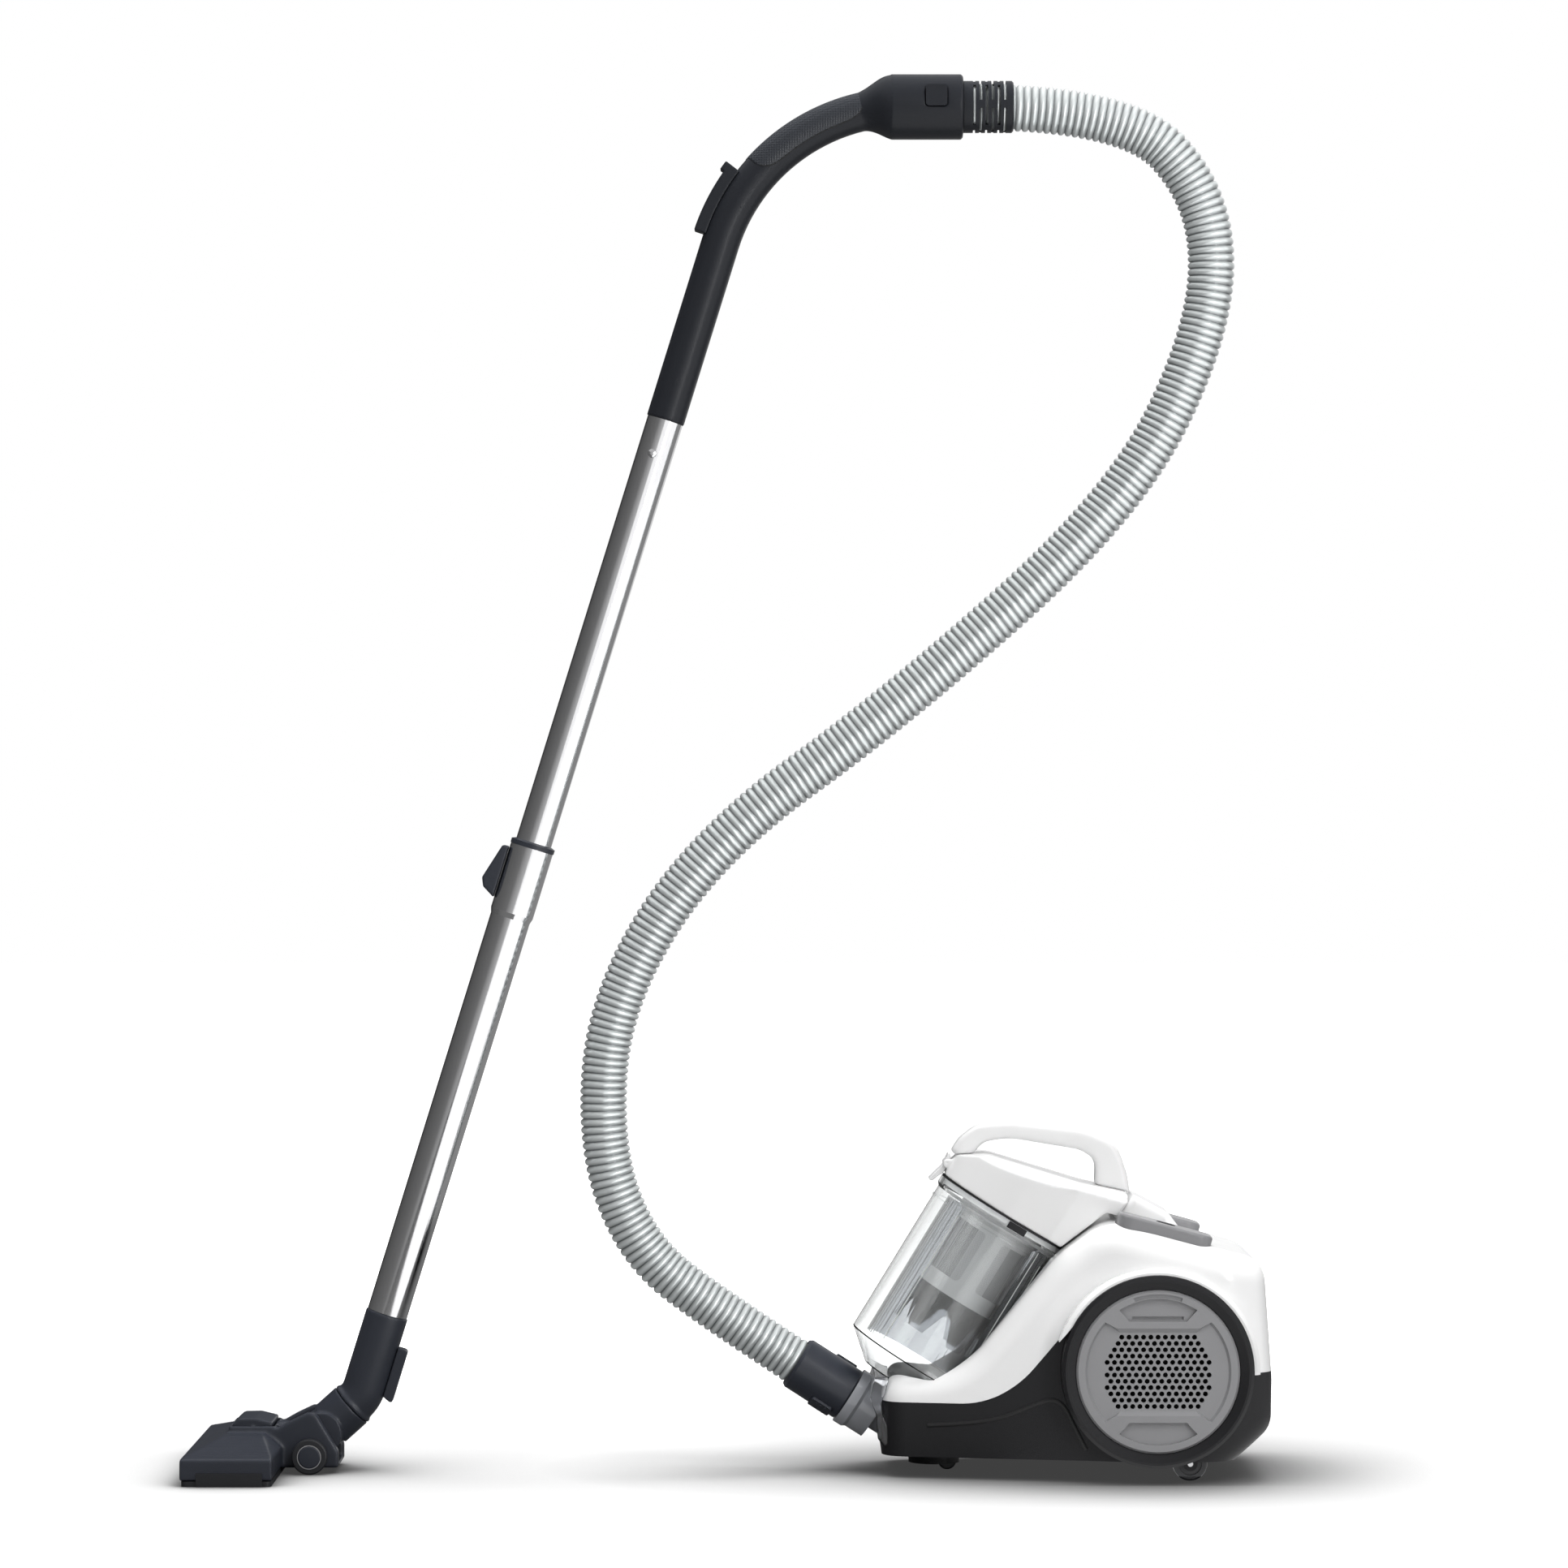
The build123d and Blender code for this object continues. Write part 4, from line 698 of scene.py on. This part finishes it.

# Dust bin: line of the collar, then liner, ribs with painted highlights, window, and a back sheet of painted
# reflection in the cup

bin_place = axis_place(bin_foot, bin_axis)
cup_radius = 0.069
collar_line = ring_outline(cup_radius + 0.0002, cup_radius + 0.0009, 0.1437, 0.145)
turned_piece("cup_collar_line", collar_line, bin_place, "dust_bin", "clear_cup")
liner_radius, liner_wall = 0.056, 0.002
liner = ring_outline(liner_radius - liner_wall, liner_radius, 0.004, 0.15)
turned_piece("cup_liner", liner, bin_place, "dust_bin", "clear_cup")
cup_inside = 0.0662
# painted highlights: solid light grey beads on the inside of the cup stand in for the bright reflections on the
# edges of its clear ribs
cup_rib_highlights = ((-0.041, 0.008, 0.14), (0.039, 0.02, 0.15), (0.047, 0.06, 0.14))
rib_highlight_lines = []
for across, low, high in cup_rib_highlights:
    for side in (-1, 1):
        depth = side * (cup_inside**2 - across**2) ** 0.5
        rib_highlight_lines.append([bin_place @ Vector((across, depth, height)) for height in (low, high)])
bead_piece("cup_rib_highlights", rib_highlight_lines, 0.0005, "dust_bin", "light_grey")


def arc_plate(name, place, radius, thick, first, last, low, high, body, slot_name, steps=12):
    """Curved plate round a place's own Z between two angles from the near side"""
    vertices = []
    faces = []
    for step in range(steps + 1):
        turn = radians(first + (last - first) * step / steps)
        for reach, height in ring_outline(radius, radius + thick, low, high):
            vertices.append(place @ Vector((reach * sin(turn), -reach * cos(turn), height)))
    for step in range(steps):
        for corner in range(4):
            after = (corner + 1) % 4
            this, following = 4 * step, 4 * step + 4
            faces.append((this + corner, this + after, following + after, following + corner))
    faces.append((0, 1, 2, 3))
    faces.append((4 * steps, 4 * steps + 1, 4 * steps + 2, 4 * steps + 3))
    return mesh_piece(name, vertices, faces, body, slot_name)


arc_plate("cup_window", bin_place, 0.0717, 0.0006, 0, 15, 0.1565, 0.1628, "dust_bin", "charcoal")
# painted reflection: a smoke grey sheet behind the core, over the far half of the cup, stands in for the dark
# reflections in the cup's inner wall
arc_plate("cup_back_painted_reflection", bin_place, 0.0522, 0.0012, 92, 268, 0.004, 0.148, "dust_bin", "smoke_clear", 60)

# Wave moulded into both sides of the base, in black as painted shade along its crease

wave_route = [
    (0.184, 0.0495),
    (0.218, 0.0512),
    (0.252, 0.0575),
    (0.279, 0.0695),
    (0.298, 0.0765),
    (0.309, 0.0705),
    (0.3175, 0.052),
    (0.329, 0.03),
]
nose_x, nose_half = 0.142, 0.066
hip_x, hip_half = 0.330, 0.101
flank_slope = (hip_half - nose_half) / (hip_x - nose_x)
wave_sink = 0.0006
wave_lines = []
for side in (-1, 1):
    line = []
    for x, z in wave_route:
        half_width = nose_half + (x - nose_x) * flank_slope - wave_sink
        line.append(Vector((x, side * half_width, z)))
    wave_lines.append(line)
# painted shade: the bead is black rubber, darker than the charcoal base, so that it reads as the shade along the
# wave's crease
bead_piece("base_wave_shade_line", wave_lines, 0.0022, "canister", "soft_rubber")

# Smoke grey flange round the inlet

flange_route = [
    (0.1354, 0.092),
    (0.1325, 0.0824),
    (0.1311, 0.0724),
    (0.1369, 0.0565),
    (0.1383, 0.035),
    (0.144, 0.0278),
    (0.1534, 0.0278),
    (0.1526, 0.035),
    (0.1426, 0.0579),
    (0.1412, 0.068),
    (0.1454, 0.0766),
    (0.1484, 0.0896),
]
flange_half = 0.0595
flange_count = len(flange_route)
flange_points = [(x, side * flange_half, z) for side in (-1, 1) for x, z in flange_route]
flange_faces = [tuple(range(flange_count)), tuple(range(flange_count, 2 * flange_count))]
for corner in range(flange_count):
    after = (corner + 1) % flange_count
    flange_faces.append((corner, after, flange_count + after, flange_count + corner))
flange = mesh_piece("inlet_flange", flange_points, flange_faces, "canister", "smoke_clear")
soften(flange, 0.0008, 6)
set_piece(flange, "canister", "smoke_clear")

# Oval marks on the pedals

mark_steps = 24
mark_long, mark_wide = 0.0085, 0.006
top_layer = 0.0005
for pedal, press in (("power_pedal", "power_press"), ("rewind_pedal", "rewind_press")):
    up = -Vector(joints[press]["axis"])
    spots = [vertex.co for vertex in nodes[pedal].data.vertices]
    top = max(spot.dot(up) for spot in spots)
    face = [spot for spot in spots if spot.dot(up) > top - top_layer]
    middle = sum(face, Vector()) / len(face)
    middle += up * (top - middle.dot(up))
    along = Vector((0, 1, 0)).cross(up)
    oval = []
    for step in range(mark_steps):
        turn = 2 * pi * step / mark_steps
        oval.append(middle + along * mark_long * cos(turn) + Vector((0, mark_wide, 0)) * sin(turn))
    bead_piece(pedal + "_mark", [oval], 0.0005, pedal, "charcoal", closed=True)

# Floor head: end flaps and the hub discs of its wheels


def side_place(x, y, z):
    """Matrix whose own Z runs out of one side of the object"""
    out = Vector((0, 1 if y > 0 else -1, 0))
    return Matrix.Translation((x, y, z)) @ out.to_track_quat("Z", "X").to_matrix().to_4x4()


def box_piece(name, low, high, body, slot_name):
    """Plain box between two corners"""
    spans = list(zip(low, high))
    vertices = [(x, y, z) for x in spans[0] for y in spans[1] for z in spans[2]]
    faces = [(0, 1, 3, 2), (4, 5, 7, 6), (0, 1, 5, 4), (2, 3, 7, 6), (0, 2, 6, 4), (1, 3, 7, 5)]
    return mesh_piece(name, vertices, faces, body, slot_name)


head_end = 0.133
flap_front, flap_back = -0.4846, -0.4243
flap_low, flap_high = 0.0006, 0.0125
flap_thick = 0.0012
hub_y = 0.0461
hub_radius, rim_radius = 0.0104, 0.0112
rim_depth = 0.0024
hub_disc = [(0.0, 0.0), (hub_radius, 0.0), (hub_radius, 0.002), (0.0092, 0.0028), (0.0, 0.003)]
hub_rim = ring_outline(hub_radius, rim_radius, 0.0, rim_depth)
for side, word in ((-1, "left"), (1, "right")):
    ends = sorted((side * head_end, side * (head_end + flap_thick)))
    flap_start = (flap_front, ends[0], flap_low)
    flap_stop = (flap_back, ends[1], flap_high)
    box_piece("end_flap_" + word, flap_start, flap_stop, "nozzle", "sole_dark")
    roll = joints["nozzle_" + word + "_roll"]
    hub = side_place(roll["pos_m"][0], side * hub_y, roll["pos_m"][2])
    body = "nozzle_wheel_" + word
    turned_piece("nozzle_hub_" + word, hub_disc, hub, body, "dark_fitting")
    turned_piece("nozzle_hub_rim_" + word, hub_rim, hub, body, "grille_grey")

# Brushes: tufts planted in two carriers

tuft_rows, tufts_in_row = 3, 112
tuft_lean = 0.05
tuft_seed = 7
tuft_sides = 6


def tuft_tree():
    """Rows of tufts in two strips, with the sizes as named inputs"""
    tree = bpy.data.node_groups.new("brush tufts", "GeometryNodeTree")
    for label in ("Front", "Back", "Foot", "Width", "Length", "Height", "Tip radius", "Root radius"):
        tree.interface.new_socket(label, in_out="INPUT", socket_type="NodeSocketFloat")
    tree.interface.new_socket("Finish", in_out="INPUT", socket_type="NodeSocketMaterial")
    tree.interface.new_socket("Geometry", in_out="OUTPUT", socket_type="NodeSocketGeometry")
    given = add_node(tree, "NodeGroupInput")
    result = add_node(tree, "NodeGroupOutput")
    rows = add_node(tree, "GeometryNodeMeshGrid")
    rows.inputs["Vertices X"].default_value = tuft_rows
    rows.inputs["Vertices Y"].default_value = tufts_in_row
    join(tree, given.outputs["Width"], rows.inputs["Size X"])
    join(tree, given.outputs["Length"], rows.inputs["Size Y"])
    tuft = add_node(tree, "GeometryNodeMeshCone")
    tuft.inputs["Vertices"].default_value = tuft_sides
    join(tree, given.outputs["Tip radius"], tuft.inputs["Radius Bottom"])
    join(tree, given.outputs["Root radius"], tuft.inputs["Radius Top"])
    join(tree, given.outputs["Height"], tuft.inputs["Depth"])
    lean = add_node(tree, "FunctionNodeRandomValue", data_type="FLOAT_VECTOR")
    lean.inputs[0].default_value = (-tuft_lean, -tuft_lean, 0)
    lean.inputs[1].default_value = (tuft_lean, tuft_lean, 2 * pi)
    lean.inputs["Seed"].default_value = tuft_seed
    planted = add_node(tree, "GeometryNodeInstanceOnPoints")
    join(tree, rows.outputs["Mesh"], planted.inputs["Points"])
    join(tree, tuft.outputs["Mesh"], planted.inputs["Instance"])
    join(tree, lean.outputs["Value"], planted.inputs["Rotation"])
    both = add_node(tree, "GeometryNodeJoinGeometry")
    for label in ("Front", "Back"):
        spot = add_node(tree, "ShaderNodeCombineXYZ")
        join(tree, given.outputs[label], spot.inputs["X"])
        join(tree, given.outputs["Foot"], spot.inputs["Z"])
        moved = add_node(tree, "GeometryNodeTransform")
        join(tree, planted.outputs["Instances"], moved.inputs["Geometry"])
        join(tree, spot.outputs["Vector"], moved.inputs["Translation"])
        join(tree, moved.outputs["Geometry"], both.inputs["Geometry"])
    real = add_node(tree, "GeometryNodeRealizeInstances")
    join(tree, both.outputs["Geometry"], real.inputs["Geometry"])
    finish = add_node(tree, "GeometryNodeSetMaterial")
    join(tree, real.outputs["Geometry"], finish.inputs["Geometry"])
    join(tree, given.outputs["Finish"], finish.inputs["Material"])
    join(tree, finish.outputs["Geometry"], result.inputs["Geometry"])
    return tree


strip_spots = [vertex.co for vertex in nodes["brush_strips"].data.vertices]
strip_low = [min(spot[axis] for spot in strip_spots) for axis in range(3)]
strip_high = [max(spot[axis] for spot in strip_spots) for axis in range(3)]
strip_width = 0.004
carrier_foot = 0.0075
tuft_margin = 0.0016
tuft_root = 0.0005
carriers = {
    "brush_carrier_front": (strip_low[0], strip_low[0] + strip_width),
    "brush_carrier_back": (strip_high[0] - strip_width, strip_high[0]),
}
for name, (front, back) in carriers.items():
    carrier_start = (front, strip_low[1], carrier_foot)
    carrier_stop = (back, strip_high[1], strip_high[2])
    box_piece(name, carrier_start, carrier_stop, "brushes", "bristle")
tuft_sizes = {
    "Front": strip_low[0] + strip_width / 2,
    "Back": strip_high[0] - strip_width / 2,
    "Foot": strip_low[2],
    "Width": strip_width - tuft_margin,
    "Length": strip_high[1] - strip_low[1] - tuft_margin,
    "Height": carrier_foot - strip_low[2] + tuft_root,
    "Tip radius": 0.0005,
    "Root radius": 0.0006,
    "Finish": finishes["bristle"],
}
bristles = new_object("brush_bristles", bpy.data.meshes.new("brush_bristles"))
planting = bristles.modifiers.new("planted tufts", "NODES")
planting.node_group = tuft_tree()
for item in planting.node_group.interface.items_tree:
    if item.in_out == "INPUT":
        planting[item.identifier] = tuft_sizes[item.name]
bristle_mesh = plain_mesh(bristles)
bristles.modifiers.clear()
bristles.data = bristle_mesh
set_piece(bristles, "brushes", "bristle", "brush_strips")

# Spring button of the upper tube

spring_place = side_place(-0.0715, -0.0168, 0.9495)
spring_dome = [
    (0.0, -0.002),
    (0.0042, -0.002),
    (0.0042, 0.0),
    (0.0034, 0.0009),
    (0.0018, 0.0014),
    (0.0, 0.0015),
]
turned_piece("tube_spring_button", spring_dome, spring_place, "handle", "chrome_tube", 32)

# Floor, light and camera


def grey(level):
    """Neutral linear colour"""
    return (level, level, level, 1.0)


def quad_mesh(name, corners):
    """Mesh of one flat face"""
    mesh = bpy.data.meshes.new(name)
    mesh.from_pydata(corners, [], [(0, 1, 2, 3)])
    return mesh


def floor_material():
    """White floor with the soft shadow near the object, deepened by painted shadow from ambient occlusion, that
    melts into the backdrop
    """
    material, tree, shader = new_material("white floor")
    path = add_node(tree, "ShaderNodeLightPath")
    through = math_node(tree, "MAXIMUM", path.outputs["Is Camera Ray"], path.outputs["Is Transmission Ray"])
    place = add_node(tree, "ShaderNodeTexCoord")
    spread = add_node(tree, "ShaderNodeMapping")
    spread.inputs["Scale"].default_value = (1 / shadow_reach[0], 1 / shadow_reach[1], 0)
    join(tree, place.outputs["Object"], spread.inputs["Vector"])
    away = add_node(tree, "ShaderNodeVectorMath", operation="LENGTH")
    join(tree, spread.outputs["Vector"], away.inputs[0])
    glow = add_node(tree, "ShaderNodeMapRange", interpolation_type="SMOOTHSTEP")
    set_values(glow, From_Min=0.7, From_Max=1.5, To_Min=floor_glow, To_Max=1.0)
    join(tree, away.outputs["Value"], glow.inputs["Value"])
    seen = math_node(tree, "MULTIPLY", glow.outputs["Result"], through)
    join(tree, seen, shader.inputs["Emission Color"])
    bounce = colour_mix(tree, grey(floor_bounce), grey(floor_mirrored), path.outputs["Is Glossy Ray"])
    tone = add_node(tree, "ShaderNodeMix", data_type="RGBA")
    tone.inputs["B"].default_value = grey(floor_tone)
    join(tree, through, tone.inputs["Factor"])
    join(tree, bounce, tone.inputs["A"])
    # painted shadow: ambient occlusion darkens the floor's colour close to the object
    painted_contact_shade = add_node(tree, "ShaderNodeAmbientOcclusion", samples=24)
    painted_contact_shade.inputs["Distance"].default_value = shade_distance
    depth = math_node(tree, "POWER", painted_contact_shade.outputs["AO"], shade_depth)
    soft = add_node(tree, "ShaderNodeVectorMath", operation="SCALE")
    join(tree, tone.outputs["Result"], soft.inputs[0])
    join(tree, depth, soft.inputs["Scale"])
    join(tree, soft.outputs["Vector"], shader.inputs["Base Color"])
    set_values(shader, Roughness=1.0, Specular_IOR_Level=0.0, Emission_Strength=1.0)
    return material


def add_floor():
    """Large plane under the object"""
    half = 14.0
    corners = [(-half, -half, 0), (half, -half, 0), (half, half, 0), (-half, half, 0)]
    floor = new_object("floor", quad_mesh("floor", corners))
    floor.data.materials.append(floor_material())
    floor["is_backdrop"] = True


def card_material(name, near, far):
    """Plain glow that runs from one level to another along the card"""
    material, tree, shader = new_material(name)
    place = add_node(tree, "ShaderNodeTexCoord")
    along = add_node(tree, "ShaderNodeSeparateXYZ")
    join(tree, place.outputs["Object"], along.inputs["Vector"])
    level = add_node(tree, "ShaderNodeMapRange")
    set_values(level, From_Min=-0.5, From_Max=0.5, To_Min=near, To_Max=far)
    join(tree, along.outputs["X"], level.inputs["Value"])
    join(tree, level.outputs["Result"], shader.inputs["Emission Color"])
    set_values(shader, Base_Color=(0, 0, 0, 1), Specular_IOR_Level=0.0, Emission_Strength=1.0)
    return material


def new_card(name, corners, near, far):
    """Glowing card that only reflections see"""
    card = new_object(name, quad_mesh(name, corners))
    card.data.materials.append(card_material(name, near, far))
    card.visible_camera = False
    card.visible_diffuse = False
    card.visible_shadow = False
    card.visible_transmission = False
    return card


def add_card(name, first, last, near, far):
    """Upright card between two floor points"""
    start, stop = Vector((*first, 0)), Vector((*last, 0))
    card = new_card(name, [(-0.5, 0, 0), (0.5, 0, 0), (0.5, 0, 1), (-0.5, 0, 1)], near, far)
    card.location = (start + stop) / 2 + Vector((0, 0, card_low))
    card.rotation_euler = (stop - start).to_track_quat("X", "Z").to_euler()
    card.scale = ((stop - start).length, 1, card_high - card_low)
    card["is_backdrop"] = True


def add_floor_card(name, left, right, front, back, level):
    """Card that lies on the floor"""
    height = 0.004
    corners = [(left, front, height), (right, front, height), (right, back, height), (left, back, height)]
    card = new_card(name, corners, level, level)
    card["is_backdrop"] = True


def add_area_light(name, place, target, size, power, mirrored=False):
    """Soft lamp aimed at a point; glossy surfaces mirror it only where asked"""
    lamp = bpy.data.lights.new(name, "AREA")
    lamp.shape = "RECTANGLE"
    lamp.size, lamp.size_y = size
    lamp.energy = power
    holder = bpy.data.objects.new(name, lamp)
    holder.location = place
    holder.rotation_euler = (Vector(target) - Vector(place)).to_track_quat("-Z", "Y").to_euler()
    holder.visible_glossy = mirrored
    bpy.context.scene.collection.objects.link(holder)


def set_world():
    """White surroundings for the camera, dimmer light for the object"""
    world = bpy.data.worlds.new("studio")
    world.use_nodes = True
    tree = world.node_tree
    backdrop = tree.nodes["Background"]
    path = add_node(tree, "ShaderNodeLightPath")
    shine = add_node(tree, "ShaderNodeMapRange")
    set_values(shine, To_Min=world_light, To_Max=world_shine)
    join(tree, path.outputs["Is Glossy Ray"], shine.inputs["Value"])
    seen = math_node(tree, "MAXIMUM", path.outputs["Is Camera Ray"], path.outputs["Is Transmission Ray"])
    strength = math_node(tree, "MAXIMUM", seen, shine.outputs["Result"])
    join(tree, strength, backdrop.inputs["Strength"])
    backdrop.inputs["Color"].default_value = (1, 1, 1, 1)
    bpy.context.scene.world = world


def add_camera():
    """Level camera in front, as far off as the photograph's was"""
    lens = bpy.data.cameras.new("camera")
    lens.sensor_width = 36
    lens.lens = 122.6
    holder = bpy.data.objects.new("camera", lens)
    holder.location = (0.0515, -5.0, 0.641)
    holder.rotation_euler = (radians(90), 0, 0)
    bpy.context.scene.collection.objects.link(holder)
    bpy.context.scene.camera = holder


shadow_reach = (1.0, 0.7)
floor_glow = 0.05
floor_bounce = 0.4
floor_mirrored = 0.12
floor_tone = 0.65
shade_distance = 0.2
shade_depth = 1.9
world_light = 0.3
world_shine = 0.55
card_side = 3.6
card_front = -5.6
card_back = 4.0
card_low = 0.01
card_high = 4.0
card_split = 0.35
side_split = 0.2
floor_left, floor_split = 0.25, 0.05
cards = {
    "soft box front right": ((card_split, card_front), (card_side, card_front), 1.1, 1.1),
    "soft box right": ((card_side, card_front), (card_side, side_split), 1.2, 1.2),
    "grey card front left": ((-card_side, card_front), (card_split, card_front), 0.18, 0.5),
    "grey card left": ((-card_side, card_back), (-card_side, card_front), 0.07, 0.18),
    "dark card back left": ((-card_side, card_back), (0.0, card_back), 0.03, 0.08),
    "grey card right": ((card_side, side_split), (card_side, card_back), 0.27, 0.27),
    "light card back right": ((0.0, card_back), (card_side, card_back), 0.6, 0.8),
}
floor_cards = {
    "soft box floor right": (floor_left, card_side, card_front, floor_split, 1.3),
    "soft box floor front": (-0.1, floor_left, card_front, -0.2, 1.3),
    "grey card floor right": (floor_left, card_side, floor_split, card_back, 0.27),
}
add_floor()
for name, (first, last, near, far) in cards.items():
    add_card(name, first, last, near, far)
for name, (left, right, front, back, level) in floor_cards.items():
    add_floor_card(name, left, right, front, back, level)
add_area_light("key lamp", (1.8, -2.6, 3.4), (0, 0, 0.4), (2.4, 2.4), 80)
add_area_light("fill lamp", (-2.6, -2.4, 2.2), (0, 0, 0.4), (2.0, 2.4), 28)
add_area_light("top lamp", (0.0, 0.6, 3.6), (0, 0, 0.2), (3.2, 2.6), 160)
add_area_light("strip lamp", (2.2, -3.2, 1.0), (0, 0, 0.7), (0.45, 2.4), 28, True)
set_world()
add_camera()
bpy.context.scene.view_settings.view_transform = "Standard"

low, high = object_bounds()
